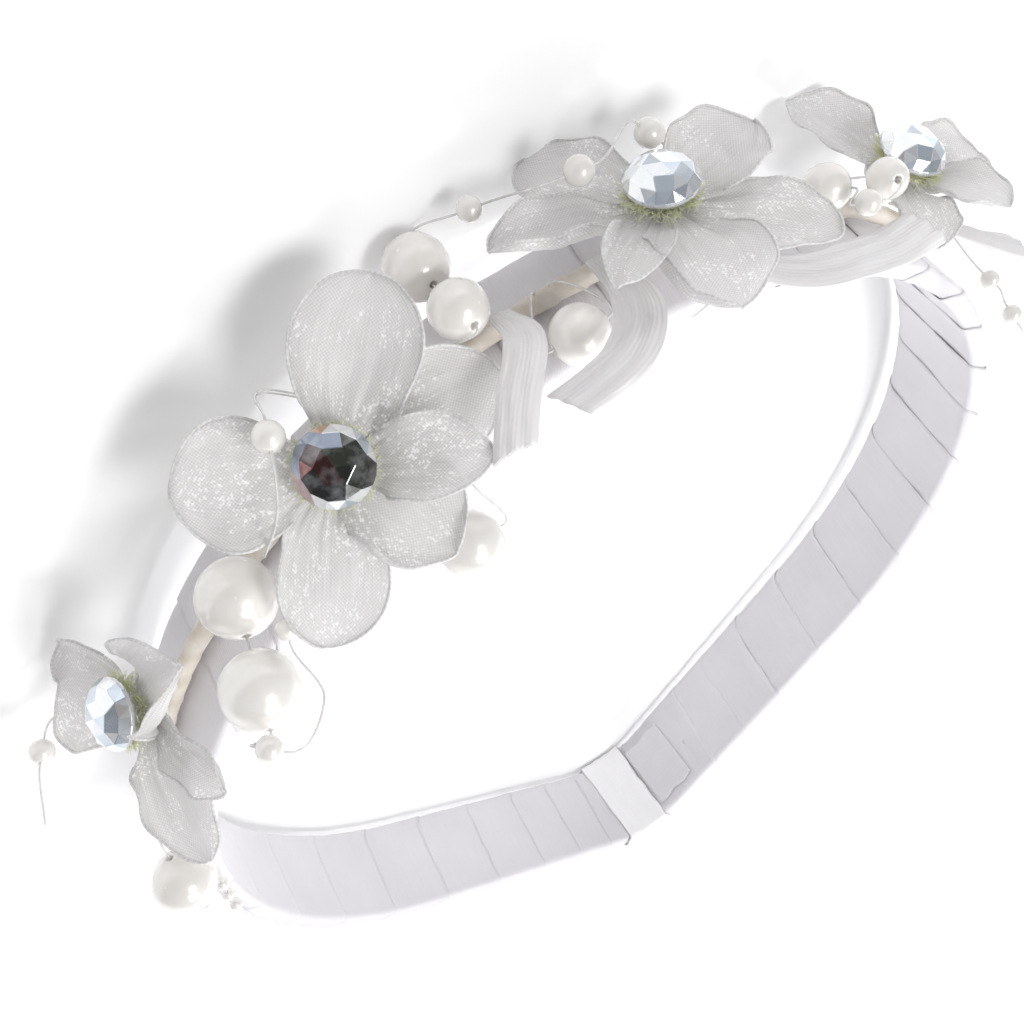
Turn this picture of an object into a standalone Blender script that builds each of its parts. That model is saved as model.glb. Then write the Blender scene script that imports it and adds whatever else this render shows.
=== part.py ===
"""A bridal flower crown: a hoop of flat strip wrapped in satin ribbon, with a pointed back where the strip's
ends meet, and along its front a garland of organza flowers, pearls on nylon line and satin ribbon ends.

Metres, +Z up. The back of the hoop is at +Y and the flowers are at -Y. The origin is the middle of the
bottom of the whole crown's box.
"""

import math

import bmesh
import bpy
from mathutils import Matrix, Vector
from mathutils.geometry import interpolate_bezier

CLEARANCE = 0.0003  # between pieces that touch or nest

# The hoop: a circle round the head, whose two straight sides close to a rounded point at the back
HEAD_RADIUS = 0.080
BACK_REACH = 0.106  # from the circle's centre to where the straight sides' inner faces would cross
BACK_CORNER_RADIUS = 0.014
STRIP_WIDTH = 0.019
STRIP_THICKNESS = 0.002
STRIP_END_GAP = 0.0006
RIBBON_THICKNESS = 0.0005
WRAP_OPENING = 0.006  # left bare at the back joint, under the collar
COLLAR_LENGTH = 0.011
COLLAR_THICKNESS = 0.0006
TAIL_LENGTH = 0.012  # the wrap's folded end, beside the collar
TAIL_THICKNESS = 0.0006
TAIL_INSET = 0.12  # left bare above and below the folded end, as a share of the wrap's width
CUTTER_OVERRUN = 0.0015
CORNER_STEPS = 4
STRAIGHT_STEPS = 3
HALF_CIRCLE_STEPS = 24
CLOSEST_STEP = 0.2  # points nearer an end than this share of a corner step are left out

# The garland's spine: the flowers' and lines' stems, bound together along the band's outer face
SPINE_RADIUS = 0.0016
SPINE_START_DEG = -54
SPINE_END_DEG = 74
SPINE_STEP_DEG = 6

# Flowers: petals gathered in layers on a stiff disc, then a tuft of fibres and a flat-backed stone
CALYX_RADIUS = 0.0050
CALYX_THICKNESS = 0.0008
CALYX_SIDES = 12
STALK_RADIUS = 0.0009
PETAL_THICKNESS = 0.0005
PETAL_ROOT_RADIUS = 0.0016  # from the flower's axis to where a petal starts
PETAL_ROOT_WIDTH = 0.0024
PETAL_LAYERS = 3
PETAL_STEPS = 6
PETAL_ACROSS = 4
PETAL_CUP = 0.12  # how far a petal's sides lift, as a share of its half width
PETAL_LEAN = 1.3  # above 1, a petal is widest past its middle
PETAL_FULLNESS = 0.7  # below 1, its outline is blunter than an arch
PETAL_TIP_SHARE = 0.5  # least width at the tip, as a share of the root's
TUFT_RADIUS = 0.0042
TUFT_THICKNESS = 0.0012
TUFT_FOOT_SHARE = 0.85  # the tuft's foot against its top
TUFT_SIDES = 16
GEM_RADIUS = 0.0052
GEM_GIRDLE = 0.0010
GEM_CROWN = 0.0026
# The stone's rings: corners, share of its radius, share of the girdle, share of the crown, turn in corners
GEM_RINGS = [
    (24, 0.94, 0.0, 0.00, 0.0),
    (24, 1.00, 0.5, 0.00, 0.0),
    (24, 1.00, 1.0, 0.00, 0.0),
    (12, 0.80, 1.0, 0.50, 0.5),
    (6, 0.52, 1.0, 0.88, 0.5),
    (1, 0.00, 1.0, 1.00, 0.0),
]

# Lines and pearls
LINE_RADIUS = 0.0003
LINE_STEP = 0.0024
PEARL_STEPS = 12
PEARL_RINGS = 7
BEAD_STEPS = 6

# Satin ribbon ends
SATIN_THICKNESS = 0.0004
SATIN_STEP = 0.0030

SMOOTH_LIMIT_DEG = 40

COLOURS = {
    "satin": ((0.86, 0.85, 0.87), 0.35, 0.0),
    "organza": ((0.84, 0.83, 0.81), 0.45, 0.0),
    "strip": ((0.78, 0.74, 0.66), 0.60, 0.0),
    "tape": ((0.70, 0.62, 0.50), 0.80, 0.0),
    "pearl": ((0.90, 0.88, 0.84), 0.18, 0.0),
    "line": ((0.92, 0.92, 0.92), 0.25, 0.0),
    "tuft": ((0.66, 0.72, 0.42), 0.80, 0.0),
    "dark_stone": ((0.12, 0.09, 0.10), 0.05, 0.6),
    "clear_stone": ((0.80, 0.84, 0.88), 0.05, 0.6),
}

# Each flower: bearing from the front towards +X, stand-off from the band's outer face and height above the
# band's middle of the disc's face, then the axis's turn from straight out and its tilt upwards.
# Each petal: azimuth about the axis, from up towards +X; length; width; layer; rise from the disc's plane
# and how far it bends back over its length, in degrees.
FLOWERS = {
    "flower_a": {
        "bearing": 53.0,
        "stand_off": 0.0092,
        "height": 0.0034,
        "turn": -3.0,
        "tilt": 6.6,
        "stone": "clear_stone",
        "petals": [
            (145, 0.0185, 0.0190, 0, 8, 6),
            (-66, 0.0225, 0.0180, 2, 20, 8),
            (16, 0.0235, 0.0150, 0, 2, 6),
            (-24, 0.0250, 0.0090, 1, 9, 8),
        ],
    },
    "flower_b": {
        "bearing": 23.3,
        "stand_off": 0.0104,
        "height": 0.0071,
        "turn": -15.6,
        "tilt": 36.0,
        "stone": "dark_stone",
        "petals": [
            (-134, 0.0245, 0.0165, 1, 12, 12),
            (-86, 0.0240, 0.0135, 0, 0, 4),
            (-60, 0.0200, 0.0110, 2, 26, 14),
            (-20, 0.0185, 0.0165, 1, 12, 10),
            (38, 0.0225, 0.0150, 0, 0, 4),
            (114, 0.0200, 0.0160, 1, 6, 8),
        ],
    },
    "flower_c": {
        "bearing": -10.6,
        "stand_off": 0.0092,
        "height": 0.0013,
        "turn": 6.9,
        "tilt": -2.6,
        "stone": "clear_stone",
        "petals": [
            (150, 0.0215, 0.0155, 0, 0, 2),
            (96, 0.0250, 0.0110, 1, 12, 4),
            (49, 0.0235, 0.0085, 2, 24, 12),
            (13, 0.0240, 0.0165, 1, 8, 8),
            (-42, 0.0235, 0.0125, 0, 0, 4),
            (-102, 0.0185, 0.0135, 1, 10, 8),
        ],
    },
    "flower_d": {
        "bearing": -39.1,
        "stand_off": 0.0094,
        "height": 0.0024,
        "turn": 17.7,
        "tilt": 8.6,
        "stone": "clear_stone",
        "petals": [
            (158, 0.0200, 0.0140, 0, 0, 4),
            (18, 0.0150, 0.0115, 0, 0, 6),
            (-32, 0.0165, 0.0125, 2, 18, 8),
            (-86, 0.0160, 0.0140, 1, 8, 8),
        ],
    },
}

# The band's upper edge, above its middle: a line that runs along the edge keeps its height over it
EDGE_HEIGHT = STRIP_WIDTH / 2 + RIBBON_THICKNESS + CLEARANCE

# Each line: its stops in order, as (kind, bearing, stand-off, height above the band's middle, diameter). A
# "spine" stop is where the line is bound in, a "pearl" is drilled and turns on the line, a "bead" is
# moulded on it, and a "bend" or a bare "end" has only a place.
LINES = {
    "pearl_line_1": [
        ("spine", 33.5),
        ("pearl", 36.2, 0.0104, 0.0094, 0.0108),
        ("pearl", 38.8, 0.0104, 0.0213, 0.0106),
        ("bead", 39.8, 0.0124, 0.0292, 0.0036),
        ("bend", 36.6, 0.0052, 0.0262),
        ("bead", 34.8, 0.0080, 0.0170, 0.0030),
        ("bend", 31.9, 0.0058, 0.0090),
        ("spine", 30.2),
    ],
    "pearl_line_2": [
        ("spine", 17.0),
        ("bend", 19.5, 0.0030, 0.0150),
        ("pearl", 19.8, -0.0040, 0.0200, 0.0090),
        ("bend", 16.0, 0.0010, 0.0150),
        ("spine", 14.5),
    ],
    "pearl_line_3": [
        ("spine", 11.5),
        ("pearl", 8.2, 0.0085, -0.0010, 0.0082),
        ("pearl", 8.5, 0.0073, -0.0118, 0.0094),
        ("bend", 7.2, 0.0082, -0.0165),
        ("bead", 2.5, 0.0110, -0.0120, 0.0036),
        ("bead", -5.5, 0.0144, -0.0058, 0.0042),
        ("bead", -12.9, 0.0140, -0.0078, 0.0042),
        ("spine", -12.0),
    ],
    "pearl_line_4": [
        ("spine", 1.8),
        ("pearl", 1.3, 0.0046, 0.0099, 0.0082),
        ("spine", 0.2),
    ],
    "pearl_line_5": [
        ("spine", -22.5),
        ("pearl", -27.6, 0.0084, 0.0047, 0.0070),
        ("bead", -28.0, 0.0104, 0.0115, 0.0038),
        ("pearl", -32.0, 0.0119, 0.0082, 0.0060),
        ("spine", -31.5),
    ],
    "pearl_line_6": [
        ("spine", 66.0),
        ("pearl", 72.0, 0.0046, 0.0160, 0.0100),
        ("bead", 81.0, -0.0016, EDGE_HEIGHT + 0.0029, 0.0022),
        ("bead", 85.0, -0.0016, EDGE_HEIGHT + 0.0025, 0.0022),
        ("bead", 89.0, -0.0016, EDGE_HEIGHT + 0.0023, 0.0022),
        ("end", 97.0, -0.0016, EDGE_HEIGHT + 0.0019),
    ],
    "bead_spray_1": [
        ("spine", 19.5),
        ("bend", 22.4, 0.0120, -0.0045),
        ("bend", 23.7, 0.0183, -0.0032),
        ("bead", 24.2, 0.0204, 0.0047, 0.0042),
        ("bend", 27.0, 0.0180, 0.0114),
        ("bend", 31.3, 0.0125, 0.0104),
        ("spine", 28.4),
    ],
    "bead_spray_2": [
        ("spine", 58.0),
        ("bend", 62.0, 0.0140, -0.0090),
        ("bead", 61.5, 0.0190, -0.0030, 0.0038),
        ("end", 62.0, 0.0225, 0.0080),
    ],
    "bead_spray_3": [
        ("spine", -47.0),
        ("bead", -48.5, 0.0040, 0.0180, 0.0030),
        ("bead", -50.0, 0.0020, 0.0235, 0.0030),
        ("end", -51.0, 0.0010, 0.0262),
    ],
}

# Each satin end: its width, the bearing where it is bound to the spine, and then the places it passes, as
# (bearing, stand-off, height above the middle)
SATIN_ENDS = {
    "satin_loop_1": (0.0065, -5.0, [(-3.6, 0.0072, 0.0120), (0.6, 0.0092, 0.0196), (6.4, 0.0074, 0.0200)]),
    "satin_loop_2": (0.0055, 5.3, [(5.8, 0.0084, 0.0090), (9.5, 0.0088, 0.0165), (12.0, 0.0080, 0.0215)]),
    "satin_strip": (
        0.0065,
        -18.0,
        [(-17.0, 0.0052, 0.0140), (-26.0, 0.0072, 0.0182), (-34.5, 0.0085, 0.0150)],
    ),
    "satin_leaf": (0.0060, -44.5, [(-45.5, 0.0070, 0.0110), (-49.5, 0.0100, 0.0175)]),
}

# Sizes that follow from the ones above
WRAP_DEPTH = STRIP_THICKNESS + 2 * (RIBBON_THICKNESS + CLEARANCE)
WRAP_WIDTH = 2 * EDGE_HEIGHT
MIDDLE = WRAP_WIDTH / 2
OUTER_RADIUS = HEAD_RADIUS + WRAP_DEPTH
SPINE_STAND_OFF = CLEARANCE + SPINE_RADIUS
ROOT_STAND_OFF = SPINE_STAND_OFF + SPINE_RADIUS + CLEARANCE  # just clear of the spine's outer side
HOLE_RADIUS = LINE_RADIUS + CLEARANCE
LAYER_PITCH = PETAL_THICKNESS + CLEARANCE
TUFT_HEIGHT = CLEARANCE + PETAL_LAYERS * LAYER_PITCH
GEM_HEIGHT = TUFT_HEIGHT + TUFT_THICKNESS + CLEARANCE
SIDE_ANGLE = math.asin(HEAD_RADIUS / BACK_REACH)  # the side's outward normal, from +X towards +Y
CORNER_CENTRE_Y = (HEAD_RADIUS - BACK_CORNER_RADIUS) / math.sin(SIDE_ANGLE)
CORNER_LENGTH = BACK_CORNER_RADIUS * (math.pi / 2 - SIDE_ANGLE)
STRAIGHT_LENGTH = CORNER_CENTRE_Y * math.cos(SIDE_ANGLE)
HALF_LENGTH = CORNER_LENGTH + STRAIGHT_LENGTH + HEAD_RADIUS * (SIDE_ANGLE + math.pi / 2)


def material(name):
    """The material of that name, made the first time it is asked for."""
    made = bpy.data.materials.get(name)
    if made is None:
        colour, roughness, metallic = COLOURS[name]
        made = bpy.data.materials.new(name)
        made.use_nodes = True
        shader = made.node_tree.nodes["Principled BSDF"]
        shader.inputs["Base Color"].default_value = (*colour, 1)
        shader.inputs["Roughness"].default_value = roughness
        shader.inputs["Metallic"].default_value = metallic
    return made


def add_object(name, data, parent, finish):
    """Links an object of this mesh or curve under a parent, in a finish."""
    made = bpy.data.objects.new(name, data)
    bpy.context.scene.collection.objects.link(made)
    made.parent = parent
    data.materials.append(material(finish))
    return made


def add_mesh(name, bm, parent, finish, smooth=True):
    """Turns a bmesh into an object, with its faces pointing out."""
    bmesh.ops.recalc_face_normals(bm, faces=bm.faces)
    mesh = bpy.data.meshes.new(name)
    bm.to_mesh(mesh)
    bm.free()
    if smooth:
        mesh.shade_smooth()
        mesh.set_sharp_from_angle(angle=math.radians(SMOOTH_LIMIT_DEG))
    return add_object(name, mesh, parent, finish)


def add_empty(name, parent, place, axes=Matrix.Identity(3)):
    """A frame that pieces hang on, at a place and turned to these axes."""
    made = bpy.data.objects.new(name, None)
    bpy.context.scene.collection.objects.link(made)
    made.parent = parent
    made.location = place
    made.rotation_euler = axes.to_euler()
    return made


def round_the_front(bearing, stand_off, height):
    """The point at a bearing from the front, this far outside the band and above its middle."""
    angle = math.radians(bearing)
    radius = OUTER_RADIUS + stand_off
    return Vector((radius * math.sin(angle), -radius * math.cos(angle), MIDDLE + height))


# ---- The hoop


def hoop_station(length):
    """The inner face's point and outward normal at a length from the back's middle, round by +X."""
    side = 1 if length >= 0 else -1
    away = abs(length)
    if away <= CORNER_LENGTH:
        angle = math.pi / 2 - away / BACK_CORNER_RADIUS
        normal = Vector((side * math.cos(angle), math.sin(angle)))
        return Vector((0, CORNER_CENTRE_Y)) + BACK_CORNER_RADIUS * normal, normal
    if away <= CORNER_LENGTH + STRAIGHT_LENGTH:
        normal = Vector((side * math.cos(SIDE_ANGLE), math.sin(SIDE_ANGLE)))
        along = Vector((side * math.sin(SIDE_ANGLE), -math.cos(SIDE_ANGLE)))
        start = Vector((0, CORNER_CENTRE_Y)) + BACK_CORNER_RADIUS * normal
        return start + (away - CORNER_LENGTH) * along, normal
    angle = SIDE_ANGLE - (away - CORNER_LENGTH - STRAIGHT_LENGTH) / HEAD_RADIUS
    normal = Vector((side * math.cos(angle), math.sin(angle)))
    return HEAD_RADIUS * normal, normal


def hoop_lengths(start, end):
    """Where a piece of the hoop needs points, from start to end, both measured from the back's middle."""
    half = [CORNER_LENGTH * k / CORNER_STEPS for k in range(CORNER_STEPS)]
    half += [CORNER_LENGTH + STRAIGHT_LENGTH * k / STRAIGHT_STEPS for k in range(STRAIGHT_STEPS)]
    circle = HALF_LENGTH - CORNER_LENGTH - STRAIGHT_LENGTH
    half += [HALF_LENGTH - circle * k / HALF_CIRCLE_STEPS for k in range(HALF_CIRCLE_STEPS, -1, -1)]
    whole = [-length for length in reversed(half[1:-1])] + half
    whole += [2 * HALF_LENGTH - length for length in reversed(half[1:-1])]
    nearest = CLOSEST_STEP * CORNER_LENGTH / CORNER_STEPS
    inside = [length for length in whole if start + nearest < length < end - nearest]
    return [start, *inside, end]


def hoop_solid(name, start, end, inner, outer, low, high, parent, finish):
    """A stretch of the hoop between two offsets outside the inner face, and between two heights."""
    bm = bmesh.new()
    rows = []
    for length in hoop_lengths(start, end):
        wrapped = length - 2 * HALF_LENGTH if length > HALF_LENGTH else length
        point, normal = hoop_station(wrapped)
        near = point + inner * normal
        far = point + outer * normal
        rows.append((bm.verts.new((near.x, near.y, low)), bm.verts.new((far.x, far.y, low))))
    faces = [bm.faces.new((a, b, d, c)) for (a, b), (c, d) in zip(rows, rows[1:])]
    raised = bmesh.ops.extrude_face_region(bm, geom=faces)["geom"]
    tops = [item for item in raised if isinstance(item, bmesh.types.BMVert)]
    bmesh.ops.translate(bm, verts=tops, vec=(0, 0, high - low))
    return add_mesh(name, bm, parent, finish)


def hoop_sleeve(name, start, end, core_inner, core_outer, core_low, core_high, wall, parent, finish):
    """A sleeve of the hoop's section with a wall, round a core's offsets and heights."""
    sleeve = hoop_solid(
        name,
        start,
        end,
        core_inner - wall,
        core_outer + wall,
        core_low - wall,
        core_high + wall,
        parent,
        finish,
    )
    cutter = hoop_solid(
        f"{name}_channel",
        start - CUTTER_OVERRUN,
        end + CUTTER_OVERRUN,
        core_inner,
        core_outer,
        core_low,
        core_high,
        parent,
        finish,
    )
    cutter.hide_render = True
    cutter.display_type = "WIRE"
    cut = sleeve.modifiers.new("channel", "BOOLEAN")
    cut.object = cutter
    return sleeve


def build_hoop(root):
    """The strip, the wrap with its folded end, the tape on the joint and the collar over it."""
    strip_inner = RIBBON_THICKNESS + CLEARANCE
    hoop_solid(
        "band_strip",
        STRIP_END_GAP / 2,
        2 * HALF_LENGTH - STRIP_END_GAP / 2,
        strip_inner,
        strip_inner + STRIP_THICKNESS,
        strip_inner,
        strip_inner + STRIP_WIDTH,
        root,
        "strip",
    )
    channel = (
        RIBBON_THICKNESS,
        WRAP_DEPTH - RIBBON_THICKNESS,
        RIBBON_THICKNESS,
        WRAP_WIDTH - RIBBON_THICKNESS,
    )
    opening = WRAP_OPENING / 2
    hoop_sleeve(
        "ribbon_wrap", opening, 2 * HALF_LENGTH - opening, *channel, RIBBON_THICKNESS, root, "satin"
    )
    hoop_sleeve(
        "joint_tape", CLEARANCE - opening, opening - CLEARANCE, *channel, RIBBON_THICKNESS, root, "tape"
    )
    hoop_sleeve(
        "joint_collar",
        -COLLAR_LENGTH / 2,
        COLLAR_LENGTH / 2,
        -CLEARANCE,
        WRAP_DEPTH + CLEARANCE,
        -CLEARANCE,
        WRAP_WIDTH + CLEARANCE,
        COLLAR_THICKNESS,
        root,
        "satin",
    )
    hoop_solid(
        "ribbon_tail",
        -COLLAR_LENGTH / 2 - CLEARANCE - TAIL_LENGTH,
        -COLLAR_LENGTH / 2 - CLEARANCE,
        -CLEARANCE - TAIL_THICKNESS,
        -CLEARANCE,
        WRAP_WIDTH * TAIL_INSET,
        WRAP_WIDTH * (1 - TAIL_INSET),
        root,
        "satin",
    )


# ---- Lines and pearls


def add_round_line(name, points, radii, parent, finish):
    """A round bar through the points, as thick at each as it says, with closed ends."""
    curve = bpy.data.curves.new(name, "CURVE")
    curve.dimensions = "3D"
    curve.bevel_depth = radii[0]
    curve.bevel_resolution = 1
    curve.use_fill_caps = True
    spline = curve.splines.new("POLY")
    spline.points.add(len(points) - 1)
    for slot, point, radius in zip(spline.points, points, radii):
        slot.co = (*point, 1)
        slot.radius = radius / radii[0]
    return add_object(name, curve, parent, finish)


def smooth_run(start, start_heading, end, end_heading, step):
    """Points along a smooth curve between two places, leaving and arriving along the headings."""
    gap = (end - start).length
    count = max(3, round(gap / step) + 1)
    handles = (start + start_heading * gap / 3, end - end_heading * gap / 3)
    return interpolate_bezier(start, handles[0], handles[1], end, count)


def build_spine(root):
    """The bound stems, from one end of the garland to the other."""
    count = round((SPINE_END_DEG - SPINE_START_DEG) / SPINE_STEP_DEG)
    points = []
    for k in range(count + 1):
        bearing = SPINE_START_DEG + (SPINE_END_DEG - SPINE_START_DEG) * k / count
        points.append(round_the_front(bearing, SPINE_STAND_OFF, 0))
    add_round_line("garland_spine", points, [SPINE_RADIUS] * len(points), root, "tape")


def add_pearl(name, place, axis, diameter, parent):
    """A drilled pearl, its hole along the axis."""
    radius = diameter / 2
    reach = math.asin(HOLE_RADIUS / radius)
    angles = [reach + (math.pi - 2 * reach) * k / PEARL_RINGS for k in range(PEARL_RINGS + 1)]
    bm = bmesh.new()
    outline = [bm.verts.new((radius * math.sin(a), 0, radius * math.cos(a))) for a in angles]
    edges = [bm.edges.new(pair) for pair in zip(outline, outline[1:] + outline[:1])]
    bmesh.ops.spin(
        bm,
        geom=outline + edges,
        cent=(0, 0, 0),
        axis=(0, 0, 1),
        angle=2 * math.pi,
        steps=PEARL_STEPS,
        use_merge=True,
    )
    pearl = add_mesh(name, bm, parent, "pearl")
    pearl.location = place
    pearl.rotation_euler = axis.to_track_quat("Z", "Y").to_euler()
    return pearl


def bead_radii(diameter):
    """(distance along the line, radius) of a bead moulded on a line."""
    radius = diameter / 2
    reach = math.sqrt(radius**2 - LINE_RADIUS**2)
    found = []
    for k in range(BEAD_STEPS + 1):
        along = -reach * math.cos(math.pi * k / BEAD_STEPS)
        found.append((along, max(LINE_RADIUS, math.sqrt(max(radius**2 - along**2, 0)))))
    return found


def build_line(name, stops, root):
    """One line with the beads moulded on it and the pearls that turn on it."""
    places = [round_the_front(s[1], *(s[2:4] or (ROOT_STAND_OFF, 0))) for s in stops]
    outward = [Vector((p.x, p.y, 0)).normalized() for p in places]
    points, radii = [], []
    leaving = None
    pearls = 0
    for k, (stop, place) in enumerate(zip(stops, places)):
        kind = stop[0]
        if kind == "spine":
            heading = outward[k] if k == 0 else -outward[k]
        else:
            before = places[k - 1]
            after = places[k + 1] if k + 1 < len(places) else 2 * place - before
            if kind == "pearl" and stops[k - 1][0] == "pearl":
                after = place
            elif kind == "pearl" and stops[k + 1][0] == "pearl":
                before = place
            heading = (after - before).normalized()
        profile = [(0, LINE_RADIUS)]
        if kind == "bead":
            profile = bead_radii(stop[4])
        elif kind == "pearl":
            mouth = stop[4] / 2 + LINE_RADIUS
            profile = [(-mouth, LINE_RADIUS), (mouth, LINE_RADIUS)]
        first = place + heading * profile[0][0]
        if leaving:
            points += smooth_run(*leaving, first, heading, LINE_STEP)[1:-1]
            radii += [LINE_RADIUS] * (len(points) - len(radii))
        points += [place + heading * along for along, _ in profile]
        radii += [radius for _, radius in profile]
        leaving = (points[-1], heading)
        if kind == "pearl":
            pearls += 1
            add_pearl(f"{name}_pearl_{pearls}", place, heading, stop[4], root)
    add_round_line(name, points, radii, root, "line")


# ---- Flowers


def add_sheet(name, rows, thickness, parent, finish):
    """A thin solid whose middle surface passes through rows of points."""
    bm = bmesh.new()
    grid = [[bm.verts.new(point) for point in row] for row in rows]
    for lower, upper in zip(grid, grid[1:]):
        for k in range(len(lower) - 1):
            bm.faces.new((lower[k], lower[k + 1], upper[k + 1], upper[k]))
    sheet = add_mesh(name, bm, parent, finish)
    wall = sheet.modifiers.new("thickness", "SOLIDIFY")
    wall.thickness = thickness
    wall.offset = 0
    return sheet


def petal_rows(length, width, layer, rise, bend):
    """A petal along +Y: a flat root on the disc, then a rounded blade that rises and bends back."""
    root_height = CLEARANCE + PETAL_THICKNESS / 2 + layer * LAYER_PITCH
    middle = [(PETAL_ROOT_RADIUS, root_height), (CALYX_RADIUS, root_height)]
    blade = length - CALYX_RADIUS
    reached = 0
    for k in range(1, PETAL_STEPS + 1):
        share = math.sin(math.pi / 2 * k / PETAL_STEPS)
        slope = math.radians(rise - bend * share)
        out, up = middle[-1]
        pace = blade * (share - reached)
        middle.append((out + pace * math.cos(slope), up + pace * math.sin(slope)))
        reached = share
    tip = middle[-1][0]
    rows = []
    for out, up in middle:
        along = (out - PETAL_ROOT_RADIUS) / (tip - PETAL_ROOT_RADIUS)
        swell = max(0, math.sin(math.pi * along**PETAL_LEAN)) ** PETAL_FULLNESS
        least = PETAL_ROOT_WIDTH * (1 - (1 - PETAL_TIP_SHARE) * along)
        half = max(least, width * swell) / 2
        lift = PETAL_CUP * half if out > CALYX_RADIUS else 0
        sides = [2 * j / PETAL_ACROSS - 1 for j in range(PETAL_ACROSS + 1)]
        rows.append([Vector((side * half, out, up + lift * side**2)) for side in sides])
    return rows


def add_calyx(name, axis_frame, spine_point, root):
    """The disc that the petals are sewn to, on a stalk that reaches down to the spine."""
    into = axis_frame.to_3x3()
    base = axis_frame.translation - into @ Vector((0, 0, CALYX_THICKNESS + STALK_RADIUS))
    lean = (base - spine_point).normalized()
    foot = spine_point + lean * (SPINE_RADIUS + CLEARANCE)
    stalk = Matrix.Translation(foot) @ lean.to_track_quat("Z", "Y").to_matrix().to_4x4()
    top = Matrix.Translation(base) @ lean.to_track_quat("Z", "Y").to_matrix().to_4x4()
    rings = [
        (stalk, STALK_RADIUS),
        (top, STALK_RADIUS),
        (axis_frame @ Matrix.Translation((0, 0, -CALYX_THICKNESS)), CALYX_RADIUS),
        (axis_frame, CALYX_RADIUS),
    ]
    bm = bmesh.new()
    loops = []
    for matrix, radius in rings:
        made = bmesh.ops.create_circle(bm, segments=CALYX_SIDES, radius=radius, matrix=matrix)["verts"]
        loops.append(list({edge for vert in made for edge in vert.link_edges}))
    for lower, upper in zip(loops, loops[1:]):
        bmesh.ops.bridge_loops(bm, edges=lower + upper)
    bmesh.ops.holes_fill(bm, edges=[edge for edge in bm.edges if edge.is_boundary])
    add_mesh(name, bm, root, "organza")


def add_gem(name, parent, finish):
    """A flat-backed stone: a round girdle under two rows of facets and a six-sided table."""
    bm = bmesh.new()
    for count, spread, girdle, crown, turn in GEM_RINGS:
        radius = GEM_RADIUS * spread
        height = GEM_GIRDLE * girdle + GEM_CROWN * crown
        for k in range(count):
            angle = 2 * math.pi * (k + turn) / count
            bm.verts.new((radius * math.cos(angle), radius * math.sin(angle), height))
    bmesh.ops.convex_hull(bm, input=bm.verts)
    gem = add_mesh(name, bm, parent, finish, smooth=False)
    gem.location = (0, 0, GEM_HEIGHT)


def add_tuft(name, parent):
    """The disc of short fibres that shows round the stone's foot."""
    bm = bmesh.new()
    base = Matrix.Translation((0, 0, TUFT_HEIGHT + TUFT_THICKNESS / 2))
    bmesh.ops.create_cone(
        bm,
        cap_ends=True,
        segments=TUFT_SIDES,
        radius1=TUFT_RADIUS * TUFT_FOOT_SHARE,
        radius2=TUFT_RADIUS,
        depth=TUFT_THICKNESS,
        matrix=base,
    )
    add_mesh(name, bm, parent, "tuft")


def build_flower(name, spec, root):
    """A flower's disc, petals, tuft and stone, about its own axis."""
    place = round_the_front(spec["bearing"], spec["stand_off"], spec["height"])
    heading = math.radians(spec["bearing"] + spec["turn"])
    tilt = math.radians(spec["tilt"])
    axis = Vector((math.sin(heading) * math.cos(tilt), -math.cos(heading) * math.cos(tilt), math.sin(tilt)))
    up = (Vector((0, 0, 1)) - axis * axis.z).normalized()
    axes = Matrix((up.cross(axis), up, axis)).transposed()
    frame = add_empty(f"{name}_axis", root, place, axes)
    spine_point = round_the_front(spec["bearing"], SPINE_STAND_OFF, 0)
    add_calyx(f"{name}_calyx", Matrix.Translation(place) @ axes.to_4x4(), spine_point, root)
    for number, (azimuth, *shape) in enumerate(spec["petals"], start=1):
        petal = add_sheet(f"{name}_petal_{number}", petal_rows(*shape), PETAL_THICKNESS, frame, "organza")
        petal.rotation_euler = (0, 0, -math.radians(azimuth))
    add_tuft(f"{name}_tuft", frame)
    add_gem(f"{name}_stone", frame, spec["stone"])


def build_satin_end(name, width, bearing, stops, root):
    """A satin ribbon end, its face turned out from the crown, from the spine through its stops."""
    places = [round_the_front(bearing, ROOT_STAND_OFF + SATIN_THICKNESS / 2, 0)]
    places += [round_the_front(*stop) for stop in stops]
    headings = [
        (places[min(k + 1, len(places) - 1)] - places[max(k - 1, 0)]).normalized() for k in range(len(places))
    ]
    points = [places[0]]
    for k in range(len(places) - 1):
        run = smooth_run(places[k], headings[k], places[k + 1], headings[k + 1], SATIN_STEP)
        points += run[1:]
    rows = []
    for k, point in enumerate(points):
        heading = (points[min(k + 1, len(points) - 1)] - points[max(k - 1, 0)]).normalized()
        outward = Vector((point.x, point.y, 0)).normalized()
        across = heading.cross(outward).normalized() * width / 2
        rows.append([point - across, point, point + across])
    add_sheet(name, rows, SATIN_THICKNESS, root, "satin")


def rest_on_origin(root):
    """Moves the whole crown so that the middle of its box's bottom is the origin."""
    bpy.context.view_layer.update()
    depsgraph = bpy.context.evaluated_depsgraph_get()
    corners = []
    for piece in bpy.context.scene.objects:
        if piece.type == "EMPTY" or piece.hide_render:
            continue
        shape = piece.evaluated_get(depsgraph)
        corners += [shape.matrix_world @ vertex.co for vertex in shape.to_mesh().vertices]
        shape.to_mesh_clear()
    low = [min(corner[k] for corner in corners) for k in range(3)]
    high = [max(corner[k] for corner in corners) for k in range(3)]
    root.location = (-(low[0] + high[0]) / 2, -(low[1] + high[1]) / 2, -low[2])


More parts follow.
